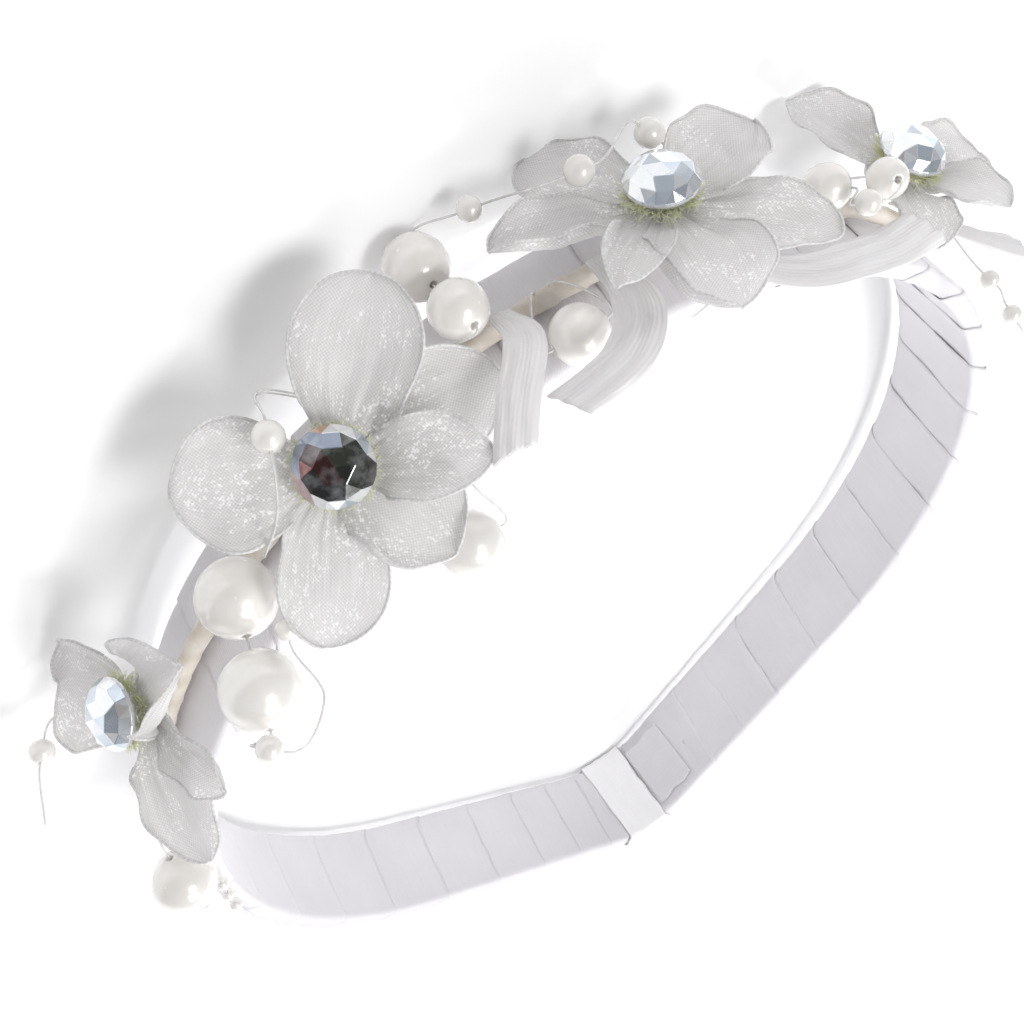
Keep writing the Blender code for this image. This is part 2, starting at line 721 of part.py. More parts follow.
for leftover in list(bpy.data.objects):
    bpy.data.objects.remove(leftover)
crown = add_empty("crown", None, Vector((0, 0, 0)))
build_hoop(crown)
build_spine(crown)
for flower_name, flower_spec in FLOWERS.items():
    build_flower(flower_name, flower_spec, crown)
for line_name, line_stops in LINES.items():
    build_line(line_name, line_stops, crown)
for end_name, end_spec in SATIN_ENDS.items():
    build_satin_end(end_name, *end_spec, crown)
rest_on_origin(crown)
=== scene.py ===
"""The looks of a bridal flower crown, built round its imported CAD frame.

The hoop is wrapped in a spiral of satin ribbon and closed at the back by a satin collar. Four organza
flowers with faceted stones, pearls on nylon line, bead sprays and satin ribbon ends stand along its front.
Metres, in the frame's own axes: +Z up, the back at +Y, the flowers at -Y.
"""

import logging
import math
import random
from dataclasses import dataclass, field
from enum import Enum
from typing import Any, Optional, Sequence, Union

import bmesh
import bpy
from mathutils import Matrix, Vector, noise
from mathutils.geometry import interpolate_bezier


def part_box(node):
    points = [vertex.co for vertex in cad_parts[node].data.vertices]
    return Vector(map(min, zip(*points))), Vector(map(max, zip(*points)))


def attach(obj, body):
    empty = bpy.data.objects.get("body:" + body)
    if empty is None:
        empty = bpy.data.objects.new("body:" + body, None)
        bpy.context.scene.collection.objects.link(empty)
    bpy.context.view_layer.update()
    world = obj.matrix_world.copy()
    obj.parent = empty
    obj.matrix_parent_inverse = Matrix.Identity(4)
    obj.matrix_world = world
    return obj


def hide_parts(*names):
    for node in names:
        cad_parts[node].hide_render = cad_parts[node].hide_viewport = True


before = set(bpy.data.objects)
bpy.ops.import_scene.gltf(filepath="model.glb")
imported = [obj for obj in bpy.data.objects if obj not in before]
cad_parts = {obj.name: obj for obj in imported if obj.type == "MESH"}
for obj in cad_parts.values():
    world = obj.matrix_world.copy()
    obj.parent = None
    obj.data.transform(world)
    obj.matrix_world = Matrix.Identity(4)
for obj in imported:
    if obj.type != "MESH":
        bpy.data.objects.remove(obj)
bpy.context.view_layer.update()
LOG = logging.getLogger("flower_crown")
CROWN = "crown"

Colour = tuple[float, float, float]
Grid = list[list[Vector]]
Number = Union[int, float]


class Slot(Enum):
    """The record's material slots; each piece is given one."""

    SATIN = "satin"
    ORGANZA = "organza"
    PEARL = "pearl"
    LINE = "line"
    TUFT = "tuft"
    TAPE = "tape"
    DARK_STONE = "dark_stone"
    CLEAR_STONE = "clear_stone"


class Held(Enum):
    """How a piece of cloth is held."""

    GATHERED = "gathered"
    STRETCHED = "stretched"
    FOLDED = "folded"


# ---- Shader building


class Wire:
    """A node's output that takes part in Python arithmetic."""

    def __init__(self, shader: "Shader", socket: bpy.types.NodeSocket) -> None:
        """Keeps the socket and the shader that it belongs to.

        Args:
            shader: The shader that new nodes are added to.
            socket: The output socket.
        """
        self.shader = shader
        self.socket = socket

    def _math(self, operation: str, first: "Operand", second: "Operand") -> "Wire":
        """Adds a Math node.

        Args:
            operation: The Math node's operation.
            first: Its first value or wire.
            second: Its second value or wire.

        Returns:
            The node's result.
        """
        return self.shader.node("ShaderNodeMath", {"operation": operation}, {0: first, 1: second})

    def __add__(self, other: "Operand") -> "Wire":
        """self + other."""
        return self._math("ADD", self, other)

    def __radd__(self, other: "Operand") -> "Wire":
        """other + self."""
        return self._math("ADD", other, self)

    def __sub__(self, other: "Operand") -> "Wire":
        """self - other."""
        return self._math("SUBTRACT", self, other)

    def __rsub__(self, other: "Operand") -> "Wire":
        """other - self."""
        return self._math("SUBTRACT", other, self)

    def __mul__(self, other: "Operand") -> "Wire":
        """self * other."""
        return self._math("MULTIPLY", self, other)

    def __rmul__(self, other: "Operand") -> "Wire":
        """other * self."""
        return self._math("MULTIPLY", other, self)

    def __pow__(self, other: "Operand") -> "Wire":
        """self ** other."""
        return self._math("POWER", self, other)

    def __gt__(self, other: "Operand") -> "Wire":
        """1 where self is above other, else 0."""
        return self._math("GREATER_THAN", self, other)

    def sine(self) -> "Wire":
        """The sine of this wire, in radians."""
        return self._math("SINE", self, 0.0)

    def clamp(self, low: float, high: float) -> "Wire":
        """This wire kept between two numbers.

        Args:
            low: The least value.
            high: The greatest value.

        Returns:
            The clamped wire.
        """
        return self._math("MINIMUM", self._math("MAXIMUM", self, low), high)


Operand = Union[Wire, Number]


class Shader:
    """One material and the nodes that are added to it."""

    def __init__(self, name: str) -> None:
        """Makes an empty material with an output.

        Args:
            name: The material's name.
        """
        self.material = bpy.data.materials.new(name)
        self.material.use_nodes = True
        self.tree = self.material.node_tree
        self.tree.nodes.clear()
        self.output = self.tree.nodes.new("ShaderNodeOutputMaterial")

    def node(
        self,
        kind: str,
        settings: Optional[dict[str, Any]] = None,
        inputs: Optional[dict[Union[str, int], Any]] = None,
        result: Union[str, int] = 0,
    ) -> Wire:
        """Adds a node, sets it, then fills or links its sockets.

        Args:
            kind: The node's type.
            settings: Its properties.
            inputs: Values or wires by socket name, identifier or number.
            result: Name, identifier or number of the output to return.

        Returns:
            The wire of that output.
        """
        made = self.tree.nodes.new(kind)
        for key, value in (settings or {}).items():
            setattr(made, key, value)
        for key, value in (inputs or {}).items():
            socket = self._pick(made.inputs, key)
            if isinstance(value, Wire):
                self.tree.links.new(value.socket, socket)
            elif isinstance(value, tuple) and socket.type == "RGBA":
                socket.default_value = (*value, 1.0)
            else:
                socket.default_value = value
        return Wire(self, self._pick(made.outputs, result))

    @staticmethod
    def _pick(sockets: Any, key: Union[str, int]) -> bpy.types.NodeSocket:
        """Finds a socket by number, identifier or name.

        Args:
            sockets: A node's inputs or outputs.
            key: The number, identifier or name.

        Returns:
            The socket.
        """
        if isinstance(key, int):
            return sockets[key]
        for socket in sockets:
            if socket.identifier == key:
                return socket
        return sockets[key]

    def blend(self, share: Operand, first: Any, second: Any) -> Wire:
        """Mixes two colours.

        Args:
            share: How much of the second colour, from 0 to 1.
            first: A colour or wire.
            second: A colour or wire.

        Returns:
            The mixed colour.
        """
        return self.node(
            "ShaderNodeMix",
            {"data_type": "RGBA"},
            {"Factor_Float": share, "A_Color": first, "B_Color": second},
            "Result_Color",
        )

    def place(self) -> Wire:
        """The point in the object's own axes, in metres."""
        return self.node("ShaderNodeTexCoord", result="Object")

    def chart(self, layer: str) -> tuple[Wire, Wire]:
        """A UV layer's two coordinates.

        Args:
            layer: The layer's name.

        Returns:
            The first and second coordinate.
        """
        flat = self.node("ShaderNodeUVMap", {"uv_map": layer})
        return self._component(flat, "X"), self._component(flat, "Y")

    def _component(self, vector: Wire, axis: str) -> Wire:
        """One component of a vector wire.

        Args:
            vector: The vector.
            axis: X, Y or Z.

        Returns:
            That component.
        """
        return self.node("ShaderNodeSeparateXYZ", inputs={"Vector": vector}, result=axis)

    def noise(
        self, scale: float, detail: float = 3.0, vector: Optional[Wire] = None, rough: float = 0.5
    ) -> Wire:
        """Soft noise between about 0.2 and 0.8.

        Args:
            scale: Waves to a metre.
            detail: Octaves.
            vector: Where it is read; the object's own point if left out.
            rough: How strong the finer octaves are.

        Returns:
            The noise's value.
        """
        at = vector or self.place()
        inputs = {"Vector": at, "Scale": scale, "Detail": detail, "Roughness": rough}
        return self.node("ShaderNodeTexNoise", inputs=inputs)

    def vector(self, x: Operand, y: Operand, z: Operand = 0.0) -> Wire:
        """A vector of three numbers or wires.

        Args:
            x: First component.
            y: Second component.
            z: Third component.

        Returns:
            The vector.
        """
        return self.node("ShaderNodeCombineXYZ", inputs={"X": x, "Y": y, "Z": z})

    def bump(self, height: Wire, depth: float, strength: float = 1.0) -> Wire:
        """A normal bent by a height.

        Args:
            height: The height, about 0 to 1.
            depth: What a height of 1 is, in metres.
            strength: The bump's strength.

        Returns:
            The bent normal.
        """
        inputs = {"Height": height, "Distance": depth, "Strength": strength}
        return self.node("ShaderNodeBump", inputs=inputs)

    def principled(self, **inputs: Any) -> Wire:
        """A Principled surface; underscores in the names stand for spaces.

        Args:
            **inputs: Values or wires by socket name.

        Returns:
            The surface.
        """
        named = {key.replace("_", " "): value for key, value in inputs.items()}
        return self.node("ShaderNodeBsdfPrincipled", inputs=named)

    def surface(self, **inputs: Any) -> bpy.types.Material:
        """Ends the material in one Principled surface.

        Args:
            **inputs: Values or wires by socket name, as in principled.

        Returns:
            The finished material.
        """
        return self.finish(self.principled(**inputs))

    def finish(self, surface: Wire) -> bpy.types.Material:
        """Links the surface to the output.

        Args:
            surface: The surface shader.

        Returns:
            The finished material.
        """
        self.tree.links.new(surface.socket, self.output.inputs["Surface"])
        return self.material


WEAVE = "weave"  # UV layer in metres across and along a cloth
SPREAD = "spread"  # UV layer from -1 to 1 across and 0 to 1 along a cloth
TONE = "tone"  # colour attribute of a stone's facets


@dataclass(frozen=True)
class SatinFinish:
    """Satin ribbon: fine threads along it, soft sheen and slight creases."""

    name: str
    light: Colour = (0.825, 0.815, 0.85)
    shade: Colour = (0.70, 0.675, 0.70)
    thread_pitch: float = 0.00045
    rib_pitch: float = 0.0
    roughness: float = 0.34

    def make(self) -> bpy.types.Material:
        """Builds the material.

        Returns:
            The finished material.
        """
        s = Shader(self.name)
        across, along = s.chart(WEAVE)
        wander = s.noise(160.0, 2.0)
        threads = ((across * (2 * math.pi / self.thread_pitch)) + wander * 3.0).sine() * 0.5 + 0.5
        streaks = s.noise(1.0, 4.0, s.vector(across * 2600.0, along * 90.0), 0.6)
        soft = s.noise(55.0, 3.0)
        tone = (soft * 0.75 + streaks * 0.45 - 0.22).clamp(0.0, 1.0)
        colour = s.blend(tone, self.shade, self.light)
        height = threads * 0.35 + streaks * 0.5
        if self.rib_pitch:
            ribs = (across * (2 * math.pi / self.rib_pitch) + wander * 2.0).sine() * 0.5 + 0.5
            height = height * 0.4 + ribs * 0.7
            colour = s.blend(ribs * 0.20, colour, self.shade)
        creases = s.noise(420.0, 4.0)
        normal = s.bump(height + creases * 0.6, 0.00012, 0.55)
        rough = (streaks * 0.16 + self.roughness - 0.05).clamp(0.1, 0.9)
        return s.surface(
            Base_Color=colour,
            Roughness=rough,
            Normal=normal,
            Sheen_Weight=0.25,
            Sheen_Roughness=0.35,
            Specular_IOR_Level=0.6,
        )


@dataclass(frozen=True)
class OrganzaFinish:
    """Sheer organza: an open weave with crossing threads, gathers with painted shade near the root, and a
    frosting of fine glitter flecks that glow as painted glints.
    """

    name: str
    light: Colour = (0.97, 0.96, 0.955)
    shade: Colour = (0.70, 0.68, 0.665)
    thread_pitch: float = 0.00034
    gathers: float = 26.0
    cover: float = 0.58
    glow: float = 0.30  # how much of the light that falls on its back shows through
    through: Colour = (0.88, 0.87, 0.865)
    glints_per_metre: float = 3200.0
    # how brightly the glitter flecks glow: painted glints
    painted_glint_glow: float = 0.30
    roughness: float = 0.38

    def make(self) -> bpy.types.Material:
        """Builds the material.

        Returns:
            The finished material.
        """
        s = Shader(self.name)
        across, along = s.chart(WEAVE)
        spread, reach = s.chart(SPREAD)
        wander = s.noise(260.0, 2.0) * 2.4
        turns = 2 * math.pi / self.thread_pitch
        warp = ((across + along) * (turns * 0.7071) + wander).sine() * 0.5 + 0.5
        weft = ((across - along) * (turns * 0.7071) + wander).sine() * 0.5 + 0.5
        weave = warp * 0.5 + weft * 0.5
        drift = s.noise(1.0, 3.0, s.vector(spread * 5.0, reach * 1.6)) * 9.0
        pleats = (spread * self.gathers + drift).sine() * 0.5 + 0.5
        near_root = (1 - reach).clamp(0.0, 1.0) ** 1.5
        # painted shade: the pleats near the root darken the tone below
        folds = pleats * near_root
        cloud = s.noise(120.0, 4.0)
        streaks = s.noise(1.0, 5.0, s.vector(spread * 26.0, reach * 5.0), 0.65)
        tone = (0.34 + cloud * 0.36 + weave * 0.16 + streaks * 0.42 - folds * 0.42).clamp(0.0, 1.0)
        cells = {"Vector": s.place(), "Scale": self.glints_per_metre}
        glints = s.node("ShaderNodeTexVoronoi", inputs=cells, result="Color")
        drifts = s.noise(170.0, 2.0) * 0.5 + streaks * 0.5
        # glitter flecks: whiter and glossier, and below they glow as painted glints
        glitter_and_painted_glint = (s.node("ShaderNodeRGBToBW", inputs={"Color": glints}) > 0.70) * (drifts > 0.52)
        colour = s.blend(glitter_and_painted_glint * 0.85, s.blend(tone, self.shade, self.light), (1.0, 1.0, 1.0))
        normal = s.bump(weave * 0.35 + pleats * near_root * 1.6 + streaks * 0.9 + glitter_and_painted_glint * 0.5, 0.00015, 0.8)
        alpha = (self.cover + weave * 0.20 + near_root * 0.22 + streaks * 0.30 - 0.18).clamp(0.0, 1.0)
        cloth = s.principled(
            Base_Color=colour,
            Roughness=self.roughness - glitter_and_painted_glint * 0.22,
            Alpha=alpha,
            Normal=normal,
            # painted glints: the glitter flecks glow with their own light
            Emission_Color=s.blend(glitter_and_painted_glint, (0.0, 0.0, 0.0), (1.0, 1.0, 1.0)),
            Emission_Strength=self.painted_glint_glow,
            Sheen_Weight=0.35,
            Sheen_Roughness=0.3,
            Specular_IOR_Level=0.55,
        )
        through = s.node("ShaderNodeBsdfTranslucent", inputs={"Color": self.through, "Normal": normal})
        return s.finish(s.node("ShaderNodeMixShader", inputs={"Fac": self.glow, 1: cloth, 2: through}))


@dataclass(frozen=True)
class HemFinish:
    """A petal's rolled edge: organza whipped over a nylon filament, with its close stitches."""

    name: str
    light: Colour = (0.95, 0.945, 0.94)
    shade: Colour = (0.66, 0.65, 0.645)
    stitch_pitch: float = 0.0008

    def make(self) -> bpy.types.Material:
        """Builds the material.

        Returns:
            The finished material.
        """
        s = Shader(self.name)
        across, along = s.chart(WEAVE)
        stitches = (along * (2 * math.pi / self.stitch_pitch) + across * 2200.0).sine() * 0.5 + 0.5
        cloud = s.noise(300.0, 3.0)
        tone = (stitches * 0.22 + cloud * 1.3 - 0.30).clamp(0.0, 1.0)
        return s.surface(
            Base_Color=s.blend(tone, self.shade, self.light),
            Roughness=0.24 + cloud * 0.2,
            Normal=s.bump(stitches, 0.00006, 0.6),
            Alpha=0.72 + tone * 0.28,
            Coat_Weight=stitches * 0.3,
        )


@dataclass(frozen=True)
class PearlFinish:
    """Pearl lacquer: ivory with clouded nacre and a clear gloss coat."""

    name: str
    light: Colour = (0.97, 0.95, 0.915)
    shade: Colour = (0.80, 0.765, 0.715)
    cloud_scale: float = 130.0

    def make(self) -> bpy.types.Material:
        """Builds the material.

        Returns:
            The finished material.
        """
        s = Shader(self.name)
        cloud = s.noise(self.cloud_scale, 4.0)
        rings = s.noise(self.cloud_scale * 5, 2.0)
        tone = (cloud * 1.3 + rings * 0.25 - 0.22).clamp(0.0, 1.0)
        pink = s.noise(self.cloud_scale * 0.6, 1.0)
        body = s.blend(tone, self.shade, self.light)
        colour = s.blend((pink - 0.5).clamp(0.0, 1.0) * 0.9, body, (0.90, 0.80, 0.82))
        return s.surface(
            Base_Color=colour,
            Roughness=0.20 + rings * 0.10,
            Metallic=0.04 + tone * 0.10,
            Normal=s.bump(rings, 0.00003, 0.5),
            Coat_Weight=1.0,
            Coat_Roughness=0.05,
            Sheen_Weight=0.2,
        )


@dataclass(frozen=True)
class NylonFinish:
    """Clear nylon line, glossy, with a faint milky cast."""

    name: str

    def make(self) -> bpy.types.Material:
        """Builds the material.

        Returns:
            The finished material.
        """
        s = Shader(self.name)
        cloud = s.noise(700.0, 3.0)
        colour = s.blend(cloud, (0.74, 0.73, 0.71), (0.96, 0.96, 0.96))
        return s.surface(
            Base_Color=colour,
            Roughness=0.10 + cloud * 0.15,
            Alpha=0.62 + cloud * 0.3,
            Normal=s.bump(cloud, 0.00004, 0.4),
            Coat_Weight=0.8,
            Coat_Roughness=0.08,
        )


@dataclass(frozen=True)
class StoneFinish:
    """A foil-backed stone whose facets carry painted reflections, one colour to a facet."""

    name: str
    roughness: float = 0.08
    metallic: float = 0.72

    def make(self) -> bpy.types.Material:
        """Builds the material.

        Returns:
            The finished material.
        """
        s = Shader(self.name)
        # each facet's painted reflection, from its colour attribute
        tone = s.node("ShaderNodeVertexColor", {"layer_name": TONE}, result="Color")
        smear = s.noise(520.0, 3.0)
        colour = s.blend((smear - 0.42).clamp(0.0, 1.0) * 0.8, tone, (0.86, 0.88, 0.93))
        return s.surface(
            Base_Color=colour,
            Roughness=self.roughness + smear * 0.05,
            Metallic=self.metallic,
            Normal=s.bump(smear, 0.00002, 0.3),
            Coat_Weight=1.0,
            Coat_Roughness=0.03,
        )


@dataclass(frozen=True)
class FibreFinish:
    """Dyed fibres of a flower's heart."""

    name: str
    light: Colour = (0.88, 0.89, 0.62)
    shade: Colour = (0.60, 0.64, 0.30)

    def make(self) -> bpy.types.Material:
        """Builds the material.

        Returns:
            The finished material.
        """
        s = Shader(self.name)
        cloud = s.noise(900.0, 3.0)
        return s.surface(
            Base_Color=s.blend(cloud, self.shade, self.light),
            Roughness=0.5 + cloud * 0.3,
            Normal=s.bump(cloud, 0.00005, 0.5),
            Sheen_Weight=0.4,
        )


@dataclass(frozen=True)
class TapeFinish:
    """Crinkled paper tape or bare strip, in a brown or a buff."""

    name: str
    light: Colour
    shade: Colour

    def make(self) -> bpy.types.Material:
        """Builds the material.

        Returns:
            The finished material.
        """
        s = Shader(self.name)
        crinkle = s.noise(900.0, 5.0, rough=0.65)
        turns = s.node(
            "ShaderNodeTexWave",
            {"wave_type": "BANDS", "bands_direction": "DIAGONAL"},
            {"Vector": s.place(), "Scale": 90.0, "Distortion": 3.0, "Detail": 3.0},
            "Fac",
        )
        tone = (crinkle * 0.8 + turns * 0.3 - 0.05).clamp(0.0, 1.0)
        return s.surface(
            Base_Color=s.blend(tone, self.shade, self.light),
            Roughness=0.62 + crinkle * 0.2,
            Normal=s.bump(crinkle + turns * 0.7, 0.0002, 0.6),
        )


@dataclass(frozen=True)
class TableFinish:
    """The pale table that the crown lies on, or the sheet behind it."""

    name: str
    glow: float

    def make(self) -> bpy.types.Material:
        """Builds the material.

        Returns:
            The finished material.
        """
        s = Shader(self.name)
        grain = s.noise(40.0, 4.0)
        return s.surface(
            Base_Color=s.blend(grain, (0.89, 0.89, 0.895), (0.915, 0.915, 0.92)),
            Roughness=0.55 + grain * 0.1,
            Normal=s.bump(grain, 0.00005, 0.2),
            Specular_IOR_Level=0.3,
            Emission_Color=(1.0, 1.0, 1.0),
            Emission_Strength=self.glow,
        )


class Finishes:
    """Every finish, made once."""

    def __init__(self) -> None:
        """Makes the materials."""
        self.wrap = SatinFinish("satin_wrap").make()
        self.collar = SatinFinish(
            "satin_collar", light=(0.985, 0.98, 0.99), shade=(0.90, 0.89, 0.90), roughness=0.30
        ).make()
        self.ribbon_end = SatinFinish(
            "satin_ribbed", light=(0.97, 0.96, 0.965), shade=(0.82, 0.80, 0.80), rib_pitch=0.00055
        ).make()
        self.organza = OrganzaFinish("organza").make()
        self.backing = OrganzaFinish("organza_backing", cover=0.95, shade=(0.66, 0.65, 0.64)).make()
        self.hem = HemFinish("rolled_hem").make()
        self.pearl = PearlFinish("pearl_lacquer").make()
        self.bead = PearlFinish("bead_lacquer", cloud_scale=420.0, light=(0.94, 0.92, 0.89)).make()
        self.nylon = NylonFinish("nylon_line").make()
        self.dark_stone = StoneFinish("dark_stone", metallic=0.55).make()
        self.clear_stone = StoneFinish("clear_stone").make()
        self.fibre = FibreFinish("heart_fibre").make()
        self.stem = TapeFinish("stem_tape", (0.84, 0.81, 0.76), (0.60, 0.52, 0.42)).make()
        self.tape = TapeFinish("joint_tape", (0.80, 0.78, 0.74), (0.62, 0.58, 0.52)).make()
        self.strip = TapeFinish("bare_strip", (0.80, 0.77, 0.70), (0.62, 0.58, 0.50)).make()
        self.card = TapeFinish("dark_card", (0.20, 0.17, 0.14), (0.13, 0.11, 0.10)).make()
        self.table = TableFinish("pale_table", 0.10).make()
        self.backdrop = TableFinish("pale_backdrop", 0.80).make()


# ---- Mesh building


def smooth_step(value: float, low: float, high: float) -> float:
    """0 below low, 1 above high and an easy curve between.

    Args:
        value: The number.
        low: Where the curve starts.
        high: Where it ends.

    Returns:
        The share.
    """
    share = min(1.0, max(0.0, (value - low) / (high - low)))
    return share * share * (3 - 2 * share)


def crumple(point: Vector, scale: float, seed: float) -> float:
    """Smooth noise from about -1 to 1.

    Args:
        point: Where it is read, in metres.
        scale: Waves to a metre.
        seed: Moves the pattern.

    Returns:
        The noise.
    """
    return noise.noise(point * scale + Vector((seed * 7.1, seed * 3.3, seed * 5.7)))


@dataclass
class Piece:
    """A finished object, the body that it rides on, its slot and the CAD nodes that it stands for."""

    thing: bpy.types.Object
    slot: Slot
    body: str = CROWN
    nodes: tuple[str, ...] = ()

    def settle(self) -> None:
        """Rides the piece on its body and hides the CAD nodes that it stands for."""
        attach(self.thing, self.body)
        if self.nodes:
            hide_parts(*self.nodes)
        LOG.info("%s on %s, %d faces", self.thing.name, self.body, len(self.thing.data.polygons))


def link_mesh(
    name: str, bm: bmesh.types.BMesh, finish: bpy.types.Material, smooth: bool = True
) -> bpy.types.Object:
    """Makes an object of a bmesh.

    Args:
        name: The object's name.
        bm: The mesh; it is freed.
        finish: Its material.
        smooth: Whether its faces are shaded smooth.

    Returns:
        The object.
    """
    mesh = bpy.data.meshes.new(name)
    bm.to_mesh(mesh)
    bm.free()
    mesh.materials.append(finish)
    if smooth:
        mesh.shade_smooth()
    made = bpy.data.objects.new(name, mesh)
    bpy.context.scene.collection.objects.link(made)
    return made


def cloth(
    name: str,
    rows: Grid,
    widths: Sequence[Sequence[float]],
    lengths: Sequence[float],
    finish: bpy.types.Material,
    thickness: float,
    ring: bool = False,
) -> bpy.types.Object:
    """A thin cloth through rows of points, with its weave charted in metres.

    Args:
        name: The object's name.
        rows: Rows of points along the cloth.
        widths: For each row, each point's distance across the cloth, in metres.
        lengths: Each row's distance along the cloth, in metres.
        finish: Its material.
        thickness: The cloth's thickness.
        ring: Whether the last row joins the first.

    Returns:
        The object, with its thickness applied.
    """
    bm = bmesh.new()
    weave = bm.loops.layers.uv.new(WEAVE)
    spread = bm.loops.layers.uv.new(SPREAD)
    grid = [[bm.verts.new(point) for point in row] for row in rows]
    count = len(grid)
    last = len(grid[0]) - 1
    total = lengths[-1] if not ring else lengths[-1] + (lengths[1] - lengths[0])
    for i in range(count if ring else count - 1):
        j = (i + 1) % count
        after = total if j == 0 else lengths[j]
        for k in range(last):
            face = bm.faces.new((grid[i][k], grid[i][k + 1], grid[j][k + 1], grid[j][k]))
            corners = ((i, k, lengths[i]), (i, k + 1, lengths[i]), (j, k + 1, after), (j, k, after))
            for loop, (row, column, along) in zip(face.loops, corners):
                loop[weave].uv = (widths[row][column], along)
                loop[spread].uv = (2 * column / last - 1, along / total)
    made = link_mesh(name, bm, finish)
    if thickness:
        thicken(made, thickness)
    return made


def thicken(piece: bpy.types.Object, thickness: float) -> None:
    """Gives a cloth its thickness, half to each side.

    Args:
        piece: The cloth.
        thickness: Its thickness, in metres.
    """
    wall = piece.modifiers.new("thickness", "SOLIDIFY")
    wall.thickness = thickness
    wall.offset = 0
    depsgraph = bpy.context.evaluated_depsgraph_get()
    solid = bpy.data.meshes.new_from_object(piece.evaluated_get(depsgraph))
    piece.modifiers.clear()
    plain = piece.data
    piece.data = solid
    bpy.data.meshes.remove(plain)


def face_area(piece: bpy.types.Object) -> float:
    """The whole surface of a mesh, both faces of a cloth with a thickness.

    Args:
        piece: The object.

    Returns:
        Its surface, in square metres.
    """
    return sum(face.area for face in piece.data.polygons)


def ring_frames(points: Sequence[Vector]) -> list[tuple[Vector, Vector, Vector]]:
    """Headings and two crosswise directions along a path, without twist.

    Args:
        points: The path.

    Returns:
        For each point its heading, side and up.
    """
    frames = []
    side = None
    last = len(points) - 1
    for k in range(last + 1):
        heading = (points[min(k + 1, last)] - points[max(k - 1, 0)]).normalized()
        if side is None:
            side = heading.orthogonal().normalized()
        side = (side - heading * side.dot(heading)).normalized()
        frames.append((heading, side, heading.cross(side)))
    return frames


def add_tube(
    bm: bmesh.types.BMesh,
    points: Sequence[Vector],
    radii: Sequence[float],
    sides: int,
    closed: bool = False,
) -> None:
    """Adds a round tube through points to a mesh, with flat capped ends unless it is closed.

    Args:
        bm: The mesh, with a weave UV layer.
        points: The tube's middle.
        radii: Its radius at each point.
        sides: Corners round it.
        closed: Whether its end joins its start.
    """
    weave = bm.loops.layers.uv.verify()
    rings = []
    travelled = [0.0]
    for before, after in zip(points, points[1:]):
        travelled.append(travelled[-1] + (after - before).length)
    for point, radius, (_, side, up) in zip(points, radii, ring_frames(points)):
        turn = [2 * math.pi * k / sides for k in range(sides)]
        rings.append([bm.verts.new(point + radius * (math.cos(a) * side + math.sin(a) * up)) for a in turn])
    pairs = list(zip(range(len(rings) - 1), range(1, len(rings))))
    if closed:
        pairs.append((len(rings) - 1, 0))
    for i, j in pairs:
        for k in range(sides):
            n = (k + 1) % sides
            face = bm.faces.new((rings[i][k], rings[i][n], rings[j][n], rings[j][k]))
            across = 2 * math.pi * radii[i] / sides
            charts = ((k, i), (k + 1, i), (k + 1, j), (k, j))
            for loop, (column, row) in zip(face.loops, charts):
                loop[weave].uv = (column * across, travelled[row])
    if not closed:
        bm.faces.new(list(reversed(rings[0])))
        bm.faces.new(rings[-1])


def new_tube_mesh() -> bmesh.types.BMesh:
    """Starts a mesh for tubes.

    Returns:
        An empty mesh with the weave chart that tubes are laid in.
    """
    bm = bmesh.new()
    bm.loops.layers.uv.new(WEAVE)
    return bm


def smooth_path(
    start: Vector, start_heading: Vector, end: Vector, end_heading: Vector, step: float
) -> list[Vector]:
    """Points along a smooth curve between two places.

    Args:
        start: Where it starts.
        start_heading: How it leaves.
        end: Where it ends.
        end_heading: How it arrives.
        step: Distance between points.

    Returns:
        The points.
    """
    gap = (end - start).length
    count = max(3, round(gap / step) + 1)
    handles = (start + start_heading * gap / 3, end - end_heading * gap / 3)
    return interpolate_bezier(start, handles[0], handles[1], end, count)


# ---- The hoop


